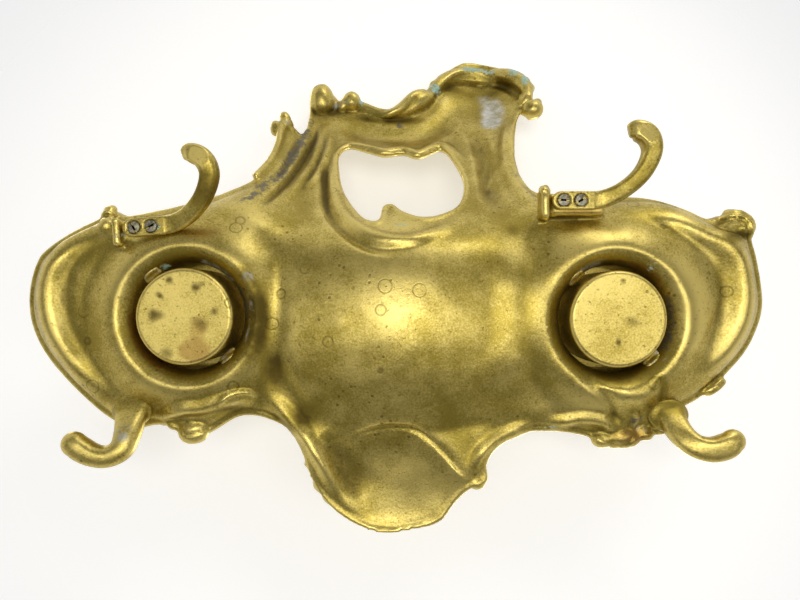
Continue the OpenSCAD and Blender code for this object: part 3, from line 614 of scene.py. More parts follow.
def modify(obj, kind, **settings):
    """Adds a modifier to obj and applies it."""
    only(obj)
    modifier = obj.modifiers.new(kind.lower(), kind)
    for key, value in settings.items():
        setattr(modifier, key, value)
    bpy.ops.object.modifier_apply(modifier=modifier.name)


def join(objects):
    """Joins the objects into the first of them."""
    only(objects[0])
    for obj in objects:
        obj.select_set(True)
    bpy.ops.object.join()
    return objects[0]


def vertex_values(obj, key):
    """The three numbers of every vertex under a key: co or normal."""
    flat = np.zeros(len(obj.data.vertices) * 3, np.float32)
    obj.data.vertices.foreach_get(key, flat)
    return flat.reshape(-1, 3)


def vertex_normals(obj):
    return vertex_values(obj, "normal")


def coordinates(obj):
    """Every vertex's place in millimetres."""
    return vertex_values(obj, "co").astype(float) / MM


def away(points, x, y):
    """How far each point is from a place, in plan."""
    return np.hypot(points[:, 0] - x, points[:, 1] - y)


def set_coordinates(obj, points):
    obj.data.vertices.foreach_set("co", (points * MM).astype(np.float32).ravel())
    obj.data.update()


def attribute(obj, name, values):
    """Stores one value for each vertex under a name that materials read."""
    layer = obj.data.attributes.new(name, "FLOAT", "POINT")
    layer.data.foreach_set("value", np.asarray(values, np.float32))


def bar(rows, sides, square):
    """Points and faces of a closed bar along rows of x, y, z, half width, half height; its
    section goes from round to square as square goes from 1 to 0."""
    rows = np.asarray(rows, float)
    path, half = rows[:, :3], rows[:, 3:]
    along = np.gradient(path, axis=0)
    along /= np.linalg.norm(along, axis=1)[:, None]
    side = np.cross(along, [0.0, 0.0, 1.0])
    side /= np.maximum(np.linalg.norm(side, axis=1), 1e-6)[:, None]
    lift = np.cross(side, along)
    turn = np.linspace(0, 2 * np.pi, sides, endpoint=False)
    across, up = (np.sign(f) * np.abs(f) ** square for f in (np.cos(turn), np.sin(turn)))
    ring = across[None, :, None] * (side * half[:, :1])[:, None]
    ring = ring + up[None, :, None] * (lift * half[:, 1:])[:, None]
    points = (path[:, None] + ring).reshape(-1, 3)
    faces = []
    for k in range(len(path) - 1):
        for i in range(sides):
            a, b = k * sides + i, k * sides + (i + 1) % sides
            faces.append((a, b, b + sides, a + sides))
    faces.append(tuple(range(sides))[::-1])
    last = (len(path) - 1) * sides
    faces.append(tuple(range(last, last + sides)))
    return points, faces


EDGE_SEGMENTS = 3


def ball(place, radii, turn=0.0):
    """An egg-shaped lump, in millimetres, turned in plan by degrees."""
    bpy.ops.object.select_all(action="DESELECT")
    bpy.ops.mesh.primitive_ico_sphere_add(
        subdivisions=4, radius=MM, location=Vector(place) * MM,
        rotation=(0, 0, math.radians(turn)), scale=radii
    )
    return bpy.context.active_object


def block(place, sizes, turn, edge):
    """A block with rounded edges, in millimetres, turned in plan by degrees."""
    bpy.ops.object.select_all(action="DESELECT")
    bpy.ops.mesh.primitive_cube_add(size=MM)
    obj = bpy.context.active_object
    bpy.ops.transform.resize(value=sizes)
    bpy.ops.object.transform_apply(location=False, rotation=False, scale=True)
    bpy.ops.object.mode_set(mode="EDIT")
    bpy.ops.mesh.select_all(action="SELECT")
    bpy.ops.mesh.bevel(offset=edge * MM, segments=EDGE_SEGMENTS, affect="EDGES")
    bpy.ops.object.mode_set(mode="OBJECT")
    obj.rotation_euler = (0, 0, math.radians(turn))
    obj.location = Vector(place) * MM
    bpy.ops.object.transform_apply()
    return obj


def spun(name, profile, centre, steps=96):
    """A profile of r, z in millimetres, spun round an upright axis."""
    x, y = centre
    points = [(x + r, y, z) for r, z in profile]
    obj = mesh_object(name, points, [])
    obj.data.edges.add(len(points))
    for k in range(len(points)):
        obj.data.edges[k].vertices = (k, (k + 1) % len(points))
    only(obj)
    bpy.ops.object.mode_set(mode="EDIT")
    bpy.ops.mesh.select_all(action="SELECT")
    bpy.ops.mesh.spin(steps=steps, angle=2 * math.pi, center=(x * MM, y * MM, 0), axis=(0, 0, 1))
    bpy.ops.mesh.select_all(action="SELECT")
    bpy.ops.mesh.remove_doubles(threshold=1e-6)
    bpy.ops.mesh.delete_loose()
    bpy.ops.mesh.select_all(action="SELECT")
    bpy.ops.mesh.normals_make_consistent(inside=False)
    bpy.ops.object.mode_set(mode="OBJECT")
    return obj


def barrel(place, radius, length, axis="X", edge=0.3):
    """A round pin or knuckle with rounded ends, in millimetres."""
    bpy.ops.object.select_all(action="DESELECT")
    turn = (0, math.pi / 2, 0) if axis == "X" else (0, 0, 0)
    bpy.ops.mesh.primitive_cylinder_add(
        vertices=48, radius=radius * MM, depth=length * MM, location=Vector(place) * MM,
        rotation=turn
    )
    bpy.ops.object.transform_apply()
    obj = bpy.context.active_object
    modify(obj, "BEVEL", width=edge * MM, segments=EDGE_SEGMENTS, limit_method="ANGLE")
    return obj


def side_name(piece, side):
    return f"{piece}_left" if side < 0 else f"{piece}_right"


def finish_piece(obj, name, node, body, slot, material, smooth_angle=35):
    """Gives a finished piece its name, body, finish and shading. slot is not used."""
    obj.name = name
    only(obj)
    bpy.ops.object.transform_apply()
    if smooth_angle:
        bpy.ops.object.shade_smooth_by_angle(angle=math.radians(smooth_angle))
    else:
        bpy.ops.object.shade_smooth()
    obj.data.materials.clear()
    obj.data.materials.append(material)
    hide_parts(node)
    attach(obj, body)


def finish_side(obj, piece, side, *how):
    """Finishes one of a pair of pieces, which has the name of its node."""
    name = side_name(piece, side)
    finish_piece(obj, name, name, *how)


def melt(parts, grain, rounds):
    """Joins parts into one cast form whose joints run into each other."""
    obj = join(parts)
    only(obj)
    bpy.ops.object.transform_apply()
    modify(obj, "REMESH", mode="VOXEL", voxel_size=grain * MM)
    modify(obj, "SMOOTH", factor=0.5, iterations=rounds)
    return obj


def hollows(obj, rounds):
    """How deep each vertex lies below the mean of its surroundings, for each number of
    smoothing rounds."""
    points = coordinates(obj)
    edges = np.zeros(len(obj.data.edges) * 2, np.int32)
    obj.data.edges.foreach_get("vertices", edges)
    a, b = edges.reshape(-1, 2).T
    normals = vertex_normals(obj)
    count = np.bincount(np.concatenate([a, b]), minlength=len(points))[:, None]
    moved, found = points.copy(), []
    for k in range(1, max(rounds) + 1):
        total = np.stack([
            np.bincount(a, moved[b, i], len(points)) + np.bincount(b, moved[a, i], len(points))
            for i in range(3)
        ], axis=1)
        moved = 0.5 * moved + 0.5 * total / np.maximum(count, 1)
        if k in rounds:
            found.append(((moved - points) * normals).sum(1))
    return found


def wear(obj, fine_scale=4.0, broad_scale=0.35, rounds=(6, 40)):
    """Stores where the form is hollow and where it stands out, for the finish to read."""
    fine, broad = hollows(obj, rounds)
    for name, sign in (("hollow", 1), ("ridge", -1)):
        value = np.clip(sign * fine * fine_scale, 0, 1) * 0.5
        attribute(obj, name, value + np.clip(sign * broad * broad_scale, 0, 1))


# ---- the casting ----------------------------------------------------------------------------


def turned_up(distance, width):
    """1 at the edge, falling to 0 at a width from it."""
    return np.where(distance > width, 0, (1 - np.minimum(distance, width) / width) ** 1.6)


def within(points, loops):
    """Which points lie inside the first loop and outside all the others."""
    keep = inside(points, loops[0])
    for loop in loops[1:]:
        keep &= ~inside(points, loop)
    return keep


def flat_triangles(loops, spacing=2.0):
    """Points and triangles, all turned one way, that fill the first loop but not the others."""
    rows = np.arange(-116, 116, spacing * 0.866)
    columns = np.arange(-154, 154, spacing)
    grid = np.concatenate([
        np.stack([columns + (k % 2) * spacing / 2, np.full(len(columns), y)], 1)
        for k, y in enumerate(rows)
    ])
    grid = grid[within(grid, loops)]
    border = np.concatenate(loops)
    gap = np.full(len(grid), FAR)
    for start in range(0, len(border), 50):
        part = border[start:start + 50]
        gap = np.minimum(gap, np.linalg.norm(grid[:, None] - part[None], axis=2).min(1))
    grid = grid[gap > 0.6 * spacing]
    points = np.concatenate([border, grid])
    edges, base = [], 0
    for loop in loops:
        edges += [(base + i, base + (i + 1) % len(loop)) for i in range(len(loop))]
        base += len(loop)
    made = geometry.delaunay_2d_cdt([Vector(p) for p in points], edges, [], 0, 1e-5)
    flat = np.array([list(v) for v in made[0]])
    faces = np.array([f for f in made[2] if len(f) == 3])
    faces = faces[within(flat[faces].mean(1), loops)]
    area = np.cross(flat[faces[:, 1]] - flat[faces[:, 0]], flat[faces[:, 2]] - flat[faces[:, 0]])
    faces[area < 0] = faces[area < 0][:, ::-1]
    return flat, faces


def casting_sheet(plan, rim, sizes):
    """The casting's plain shell: two sheets over its outline, with a wall round its edges."""
    turn = np.linspace(0, 2 * np.pi, 96, endpoint=False)
    loops = [spline(EDGE, 12, closed=True)[:, :2], spline(WINDOW, 8, closed=True)]
    for x, y in WELLS.values():
        loops.append(np.stack([x + RING_R * np.cos(turn), y + RING_R * np.sin(turn)], 1))
    flat, faces = flat_triangles(loops)
    x, y = flat[:, 0], flat[:, 1]
    edge_gap = plan.read(rim["distance"], x, y)
    rise = sizes.rim_rise * plan.read(rim["turn"], x, y) * turned_up(edge_gap, sizes.rim_width)
    low = deck(x, y) + rise
    gx, gy = slope(x, y)
    thick = sizes.wall * np.sqrt(1 + np.minimum(gx**2 + gy**2, 1.6))
    thick += turned_up(2 * edge_gap, sizes.rim_width)
    count = len(flat)
    solid = np.concatenate([np.column_stack([flat, low]), np.column_stack([flat, low + thick])])
    ends = {}
    for a, b, c in faces:
        for e in ((a, b), (b, c), (c, a)):
            ends[e] = True
    wall = [(b, b + count, a + count, a) for a, b in ends if (b, a) not in ends]
    return solid, [*map(tuple, faces[:, ::-1]), *map(tuple, faces + count), *wall]


def rim_layers(plan):
    """Distance from the tray's edge, and how far the nearest edge turns up."""
    line = spline(EDGE, 6, closed=True)
    window, d, _, along = plan.nearest(line, 400, closed=True)
    turn = plan.layer()
    k = along.astype(int) % len(line)
    share = along - along.astype(int)
    turn[window] = line[k, 2] * (1 - share) + line[(k + 1) % len(line), 2] * share
    distance = plan.layer()
    distance[window] = d
    return {"distance": distance, "turn": turn}


def under_height(x, y):
    """Height of the underside with its well rings, without the turned-up rim."""
    return float(deck(np.array([x]), np.array([y]))[0])


def surface_point(x, y, wall, lift):
    """A place that much above the middle of the casting's wall."""
    return (x, y, under_height(x, y) + wall / 2 + lift)


def on_surface(lift, rows):
    """Rows of x, y, radius smoothed and laid on the casting, for a bar."""
    line = spline(rows, 6)
    return [[x, y, under_height(x, y) + lift, r, r] for x, y, r in line]


# Rolls along the edge: each is how far above the underside it runs, then x, y, radius.
ROLLS = (
    (-1, [[-17, 89.5, 1.8], [-21.5, 95.5, 3.8], [-28, 101.6, 4.4], [-36, 105, 4.7],
        [-45, 104.8, 4.6], [-52, 102.6, 3.4], [-56, 100.5, 1.8]]),
    (-1.2, [[-49, 103.6, 1.8], [-55, 104.4, 3.8], [-61, 103, 4.9], [-67, 98.8, 5],
        [-69.8, 92.8, 4.2], [-70, 86, 2.6]]),
    (-1.4, [[22, 85.8, 2], [17, 82.6, 2.6], [9, 79.4, 2.4], [1, 78.6, 2.8], [-5, 81.4, 4.4],
        [-10.4, 85.6, 6], [-15.5, 89, 5.2], [-20, 90.6, 2.2]]),
    (0.2, [[57, 70, 2.6], [57.6, 63, 2.4], [57.6, 54, 1.8], [59, 44, 1.5], [63, 34, 1.4]]),
)
# Curled tips and lobes: place, lift, half sizes, turn.
LUMPS = (
    ((40.2, 86.0), -5.0, (6.4, 9.2, 6.0), -4), ((24.4, 86.0), -4.4, (4.8, 5.4, 4.6), 0),
    ((33, 84.5), -2, (3.6, 2.6, 2.4), 0), ((29.0, 83.6), -3.4, (2.6, 3.6, 2.6), 20),
    ((-70.8, 78.4), -1.4, (5.8, 5.4, 5.0), 0), ((-68.8, 85.6), -0.6, (4.2, 4.6, 4.0), 0),
    ((-74.0, 82.4), -1.4, (2.8, 3.2, 2.8), 0),
    ((56.6, 69.5), -0.5, (3.4, 6.4, 3.6), -14), ((61.2, 65.6), 0.5, (2.6, 4.4, 3.0), 0),
    ((120.7, 14.2), 5.5, (3.0, 4.6, 3.2), 10), ((118.5, 9.5), 2.0, (3.4, 4.6, 3.0), 20),
    ((-141.0, 12.4), 4.6, (5.8, 4.6, 4.6), -24), ((-144.4, 8.4), 4.8, (4.4, 6.6, 4.2), 18),
    ((82.6, -74.8), 0.4, (6.2, 5.0, 3.0), 0), ((90.2, -71.4), 0.8, (3.4, 2.8, 2.4), 0),
    ((86.6, -71.6), 0.8, (2.6, 2.0, 2), 0), ((-84.2, -78.0), 0.8, (4.4, 3.4, 2.8), 0),
    ((-92.8, -77.2), 0.6, (7.0, 4.2, 3.2), 0), ((-101.2, -75.2), 0.8, (4.2, 3.0, 2.8), 20),
    ((-32.5, -94.6), 0.6, (3.8, 3.0, 2.8), 30), ((-131.6, -57.0), 4.6, (5.8, 2.8, 2.6), -30),
)


class BackFoot:
    """One of the two back feet: where its plate's screws are and how it is turned."""

    plate_z = (8.4, 11.0)
    plate_half = 3.7
    end = 8.0
    screws = (-3.4, 3.4)
    sink_r, sink_z = 2.72, 9.3

    def __init__(self, x, y, turn, slots, green, painted_shade):
        self.place, self.turn, self.slots = (x, y), turn, slots
        self.green, self.painted_shade = green, painted_shade

    def at(self, x, y, z=0.0):
        """A place on the foot, whose length runs along x, where it stands on the tray."""
        a = math.radians(-self.turn)
        return (
            self.place[0] + x * math.cos(a) - y * math.sin(a),
            self.place[1] + x * math.sin(a) + y * math.cos(a),
            z,
        )

    def near(self, points, x, y, radius):
        """1 at a place on the foot, fading to 0 that far from it."""
        x, y, _ = self.at(x, y)
        return smooth(1 - away(points, x, y) / radius)

    def pad(self):
        """The filed pad under the plate and the rib that the plate stops against."""
        rib_x = self.end + 2.6
        pad = block(self.at(-3, -1, 14.0), (22, 9, 6.4), -self.turn, 0.8)
        rib = block(self.at(rib_x, -1.6, 12.6), (3.4, 11, 9.0), -self.turn, 0.8)
        cap = ball(self.at(rib_x, 3.4, 9.0), (2.2, 2.2, 1.4))
        return [pad, rib, cap]


# Each is its place, its turn, the turns of its screws' slots, how green it is and how much painted
# shade lies on its arm's bend.
BACK_FEET = {
    -1: BackFoot(-70.0, 18.5, 0.0, (-32, 4), 0.2, 0.4),
    1: BackFoot(100.3, 8.0, 4.0, (-24, 66), 0.85, 1.0),
}


def carve(plan, tray, under, top):
    """Moves the casting's skin out and in by the relief of its two sides."""
    points = coordinates(tray)
    normals = vertex_normals(tray)
    x, y = points[:, 0], points[:, 1]
    below = smooth(0.5 - normals[:, 2] * 1.5)
    height = below * plan.read(under, x, y) + (1 - below) * plan.read(top, x, y)
    wave = np.sin(x / 5.3 + np.sin(y / 7.1) * 2) * np.sin(y / 4.7 + np.sin(x / 6.3) * 2)
    points += normals * (height + 0.08 * below * wave)[:, None]
    low, high = np.array(CAD_BOX) / MM
    set_coordinates(tray, np.clip(points, low, high))


def well_socket(centre):
    """The ring, the swelling and the neck that hold a well, as one spun wall."""
    ridge_z = DECK - RING_DROP
    bulb, foot = WELL_R + 7.6, RING_R + 8
    inner = [
        [WELL_R, DECK + 1], [WELL_R + 1.8, ridge_z + 3.4], [RING_R - 1.6, ridge_z + 1.3],
        [RING_R + 0.6, ridge_z + 0.1], [RING_R + 4, ridge_z + 1.1], [foot, ridge_z + 3.6],
    ]
    outer = [
        [foot, ridge_z + 5.4], [RING_R + 4, DECK + 2.2], [bulb, DECK + 7.2],
        [bulb - 1, NECK_TOP - 7.5], [NECK_R + 0.6, NECK_TOP - 2.5], [NECK_R, NECK_TOP],
    ]
    profile = np.concatenate([[[WELL_R, NECK_TOP]], spline(inner, 6), spline(outer, 6)])
    return spun("well_socket", profile, centre)


class INKSTAND_OT_casting(bpy.types.Operator):
    """Builds the tray, its gallery, rims and wells as one relief casting"""

    bl_idname = "inkstand.casting"
    bl_label = "Tray Casting"

    def execute(self, context):
        sizes = context.scene.inkstand_casting
        plan = Plan()
        rim = rim_layers(plan)
        parts = [mesh_object("tray_shell", *casting_sheet(plan, rim, sizes))]
        parts += [well_socket(centre) for centre in WELLS.values()]
        parts += [mesh_object("roll", *bar(on_surface(*row), 16, 1.0)) for row in ROLLS]
        for place, lift, radii, turn in LUMPS:
            parts.append(ball(surface_point(*place, sizes.wall, lift), radii, turn))
        for foot in BACK_FEET.values():
            parts += foot.pad()
        tray = melt(parts, sizes.grain, 8)
        tray.name = "tray"
        window_gap = plan.layer() + FAR
        part, gap, _, _ = plan.nearest(spline(WINDOW, 6, closed=True), 8, closed=True)
        window_gap[part] = gap
        carve(plan, tray, underside_relief(plan, rim, window_gap),
              topside_relief(plan, rim, window_gap))
        faces = sum(len(p.vertices) - 2 for p in tray.data.polygons)
        modify(tray, "DECIMATE", ratio=min(1.0, sizes.triangles / faces))
        only(tray)
        bpy.ops.object.shade_smooth()
        wear(tray)
        points = coordinates(tray)
        below = smooth(0.5 - vertex_normals(tray)[:, 2] * 3)
        for name, layer in stains(plan).items():
            attribute(tray, name, below * plan.read(layer, points[:, 0], points[:, 1]))
        finish_piece(tray, "tray", "tray_casting", STAND, "cast_brass", brass("cast_brass"), 0)
        return {"FINISHED"}


# ---- materials ------------------------------------------------------------------------------


class Value:
    """A socket of a shader that can be used in arithmetic."""

    def __init__(self, shader, socket):
        self.shader, self.socket = shader, socket

    def _with(self, operation, other, swapped=False):
        pair = [other, self] if swapped else [self, other]
        return self.shader.math(operation, *pair)

    def __add__(self, other):
        return self._with("ADD", other)

    def __radd__(self, other):
        return self._with("ADD", other, True)

    def __sub__(self, other):
        return self._with("SUBTRACT", other)

    def __rsub__(self, other):
        return self._with("SUBTRACT", other, True)

    def __mul__(self, other):
        return self._with("MULTIPLY", other)

    def __rmul__(self, other):
        return self._with("MULTIPLY", other, True)


class Shader:
    """A material and the nodes that are added to it, whose patterns lie on the piece's own
    coordinates."""

    def __init__(self, name):
        self.material = bpy.data.materials.new(name)
        self.material.use_nodes = True
        self.tree = self.material.node_tree
        self.principled = self.tree.nodes["Principled BSDF"]
        self.place = self.node("ShaderNodeTexCoord", out=3)

    def node(self, kind, settings=None, *values, out=0, **named):
        """Adds a node, sets it up, feeds its sockets in order or by name, and gives an output."""
        node = self.tree.nodes.new(kind)
        for key, value in (settings or {}).items():
            setattr(node, key, value)
        for index, value in enumerate(values):
            self.feed(node.inputs[index], value)
        for key, value in named.items():
            self.feed(node.inputs[key.replace("_", " ")], value)
        return Value(self, node.outputs[out])

    def feed(self, socket, value):
        if isinstance(value, Value):
            self.tree.links.new(value.socket, socket)
        elif value is not None:
            socket.default_value = value

    def math(self, operation, *values):
        return self.node("ShaderNodeMath", {"operation": operation}, *values)

    def most(self, a, b):
        """The greater of two values."""
        return self.math("MAXIMUM", a, b)

    def ramp(self, value, low, high):
        """0 below low, 1 above high, smooth between."""
        smoothly = {"interpolation_type": "SMOOTHSTEP"}
        return self.node("ShaderNodeMapRange", smoothly, value, low, high)

    def mix(self, share, a, b):
        """A colour between a and b."""
        node = self.tree.nodes.new("ShaderNodeMix")
        node.data_type = "RGBA"
        for index, value in ((0, share), (6, a), (7, b)):
            self.feed(node.inputs[index], (*value, 1.0) if isinstance(value, tuple) else value)
        return Value(self, node.outputs[2])

    def noise(self, scale, detail, rough=0.5):
        return self.node("ShaderNodeTexNoise", {}, Vector=self.place, Scale=scale, Detail=detail,
                         Roughness=rough)

    def cells(self, scale):
        """Distance from the nearest of many scattered points."""
        return self.node("ShaderNodeTexVoronoi", {}, Vector=self.place, Scale=scale)

    def set(self, **values):
        for key, value in values.items():
            self.feed(self.principled.inputs[key.replace("_", " ")], value)

    def bump(self, height, strength, distance):
        self.set(Normal=self.node("ShaderNodeBump", {}, Strength=strength, Distance=distance,
                                  Height=height))


# The colours that the finish has besides those that a user would change.
COPPER_RED, OLD_LEAD = (0.30, 0.15, 0.035), (0.095, 0.09, 0.082)
WAX_DIRTY, WAX_CLEAN = (0.40, 0.37, 0.26), (0.80, 0.79, 0.73)
SALTS = (0.52, 0.62, 0.52)
STEEL_DARK, STEEL_FILM = (0.13, 0.115, 0.075), (0.44, 0.40, 0.29)
GLASS_DEEP, GLASS_CLEAR = (0.80, 0.90, 0.86), (0.93, 0.97, 0.95)
# What the meshes store for the brass to read.
MARKS = ("hollow", "ridge", "verdigris", "grey", "red", "worn", "wax", "soot_and_shade", "lead")


def brass(name, worn=0.0, flecks=0.6, grey=0.0):
    """Aged brass: olive gold, speckled, darker in its hollows with grime and painted shade.
    worn adds to how bright it is, as wear and as painted light, flecks is how strong its specks
    are, and grey how much old solder covers it."""
    s = Shader(name)
    finish = bpy.context.scene.inkstand_finish
    bright, aged, dark, verdigris, solder = (
        tuple(colour) for colour in
        (finish.bright, finish.aged, finish.dark, finish.verdigris, finish.solder)
    )
    layer = {
        key: s.node("ShaderNodeAttribute", {"attribute_name": key}, out=2) for key in MARKS
    }
    cloud = s.noise(30.0, 4.0)
    patch = s.noise(110.0, 5.0, 0.62)
    fleck = s.noise(620.0, 3.0, 0.6)
    grain = s.noise(1300.0, 2.0)
    # from aged to bright, with wear and painted light, red places, and grime and painted shade
    tone = cloud * 0.5 + patch * 0.6 + layer["ridge"] * 0.30 + layer["worn"] * 0.25 + worn
    tone = s.ramp(tone + (grain - 0.5) * 0.6 - layer["soot_and_shade"] * 0.3, 0.40, 0.88)
    colour = s.mix(tone, aged, bright)
    red = s.ramp(layer["red"] * (patch + 0.35), 0.2, 0.8)
    colour = s.mix(red * 0.6, colour, COPPER_RED)
    # Hollows and soot_and_shade places are painted darker, as grime and as painted shade.
    grime_and_shade = layer["hollow"] * (patch * 1.2 + 0.4) + layer["soot_and_shade"] * (patch * 1.3 + fleck * 0.5)
    grime_and_shade = s.ramp(grime_and_shade - layer["ridge"] * 0.2, 0.10, 1.2)
    colour = s.mix(grime_and_shade * 0.9, colour, dark)
    # dried rings, spots and flecks
    ring = s.ramp(0.085 - s.math("ABSOLUTE", s.cells(62.0) - 0.17), 0.055, 0.085)
    ring = ring * s.ramp(s.noise(19.0, 1.0), 0.52, 0.60)
    spots = s.ramp(0.20 - s.cells(260.0), 0.0, 0.06) * s.ramp(s.noise(45.0, 2.0), 0.53, 0.66)
    marks = s.most(ring * 0.55, spots * 0.6)
    marks = s.most(marks, s.ramp(fleck, 0.58, 0.76) * flecks)
    colour = s.mix(marks, colour, dark)
    # solder, lead, wax and verdigris, in lumps
    crust = s.noise(330.0, 6.0, 0.75)
    lumps = (crust - 0.5) * 6.0 + 0.9
    grey = s.ramp((layer["grey"] + grey) * lumps, 0.25, 1.15)
    colour = s.mix(grey * 0.8, colour, solder)
    lead = s.ramp(layer["lead"] * lumps, 0.2, 0.95)
    colour = s.mix(lead * 0.8, colour, OLD_LEAD)
    wax = s.ramp(layer["wax"] * (lumps * 0.12 + patch * 1.6), 0.2, 1.05)
    milky = s.mix(s.ramp(crust * 0.5 + patch, 0.55, 0.98), WAX_DIRTY, WAX_CLEAN)
    colour = s.mix(wax * 0.92, colour, milky)
    grey = s.most(grey, wax)
    salts = s.noise(640.0, 4.0, 0.7)
    green = s.ramp(layer["verdigris"] * ((salts - 0.5) * 5.0 + 1.0), 0.3, 0.8)
    colour = s.mix(green, colour, s.mix(s.ramp(salts, 0.45, 0.65), verdigris, SALTS))
    s.set(
        Base_Color=colour, Metallic=1.0 - s.most(green * 0.85, grey * 0.5 + lead * 0.3),
        Roughness=0.31 + 0.14 * patch + 0.06 * grain + 0.2 * grime_and_shade + 0.25 * green - 0.05 * tone
    )
    height = grain * 0.6 + fleck * 1.2 + patch * 3.0 - marks * 1.2 + green * 3.0 + grey * 1.0
    s.bump(height, 0.36, 0.00012)
    return s.material


def steel(name):
    """Dull dark steel with a brassy film on it."""
    s = Shader(name)
    film = s.noise(700.0, 4.0, 0.7)
    s.set(Base_Color=s.mix(s.ramp(film, 0.3, 0.7), STEEL_DARK, STEEL_FILM), Metallic=1.0,
          Roughness=0.3 + 0.3 * film)
    s.bump(film, 0.4, 0.0001)
    return s.material


def glass(name):
    """Old pressed glass, faintly green, with a little bloom on it."""
    s = Shader(name)
    bloom = s.noise(160.0, 4.0)
    s.set(Base_Color=s.mix(bloom, GLASS_DEEP, GLASS_CLEAR), Transmission_Weight=1.0, IOR=1.5,
          Roughness=0.04 + 0.14 * s.ramp(bloom, 0.5, 0.8))
    return s.material


# ---- feet -----------------------------------------------------------------------------------

# Where the front feet are brazed on, and their routes from there: outwards, y, z, half width,
# half height.
FRONT_SEATS = {-1: (-112.0, -69.5), 1: (108.5, -67.5)}
FRONT_ROUTES = {
    -1: (
        (-1.6, 5, 14, 5.6, 2.2), (-1.0, 0.5, 12.0, 5.4, 3.2), (1.0, -4.6, 8.8, 4.9, 3.8),
        (5.0, -8.4, 6.0, 4.7, 3.9), (10.6, -9.6, 4.4, 4.8, 3.8), (15.6, -8.2, 3.7, 4.9, 3.7),
        (18.6, -6.2, 3.6, 4.2, 3.5), (20.4, -5.0, 3.6, 2.4, 2.2),
    ),
    1: (
        (-2.2, 5, 14.0, 7.4, 2.2), (-2.4, 0, 12.0, 6.4, 3.6), (-2.6, -6.5, 8.4, 5.2, 4.6),
        (-1.2, -11.8, 6.2, 4.7, 4.5), (3.4, -14.4, 5.0, 4.3, 4.3), (8.6, -13.8, 4.4, 4.4, 4.3),
        (13.0, -11.7, 4.3, 4.8, 4.3), (16.2, -9.4, 4.2, 4.4, 4.1), (18.2, -8.0, 4.2, 2.4, 2.4),
    ),
}
# The back feet's route from under their plate: along, across, z, half width, half height.
BACK_ROUTE = (
    (-5, 0, 9.7, 3.6, 1.25), (-12, 0.5, 9.6, 3.6, 1.35), (-19.4, 3.7, 8.0, 3.4, 2.5),
    (-26, 9.8, 5.7, 3.4, 3.1), (-29.4, 17.8, 4.3, 3.6, 3.6), (-27.6, 23.8, 3.5, 4.0, 3.9),
    (-23.2, 26.2, 3.7, 3.8, 3.6), (-20.4, 25.9, 4.4, 2.4, 2.5),
)


def worn_flat(obj):
    """Cuts a foot off level with the table."""
    points = coordinates(obj)
    points[:, 2] = np.maximum(points[:, 2], 0)
    set_coordinates(obj, points)


# How square the section of each front foot is, and the middle of the grey patch on the right.
FRONT_SQUARE = {-1: 0.62, 1: 0.85}
GREY_PATCH = (107, -73)


class INKSTAND_OT_front_feet(bpy.types.Operator):
    """Builds the two hooked front feet"""

    bl_idname = "inkstand.front_feet"
    bl_label = "Front Feet"

    def execute(self, context):
        for side, (x, y) in FRONT_SEATS.items():
            rows = [[x + side * u, y + v, *rest] for u, v, *rest in FRONT_ROUTES[side]]
            foot = mesh_object("foot", *bar(spline(rows, 6), 24, FRONT_SQUARE[side]))
            root = ball((x - side * 2, y + 2, 14.0), (8.5, 7.0, 2.6))
            *end, across, up = rows[-2]
            foot = melt([foot, root, ball(end, (across + 0.6, across + 0.6, up))], 0.55, 12)
            worn_flat(foot)
            wear(foot, 3.0, 0.2)
            points = coordinates(foot)
            high = smooth((points[:, 2] - 8.5) / 3)
            attribute(foot, "grey", smooth(1 - away(points, *GREY_PATCH) / 7))
            # darker towards the tray and brighter lower down
            attribute(foot, "soot_and_shade", high * 0.4)
            attribute(foot, "worn", (1 - high) * 0.4)
            metal = brass(side_name("front_foot", side) + "_brass", 0.04)
            finish_side(foot, "front_foot", side, STAND, "cast_brass", metal, 0)
        return {"FINISHED"}


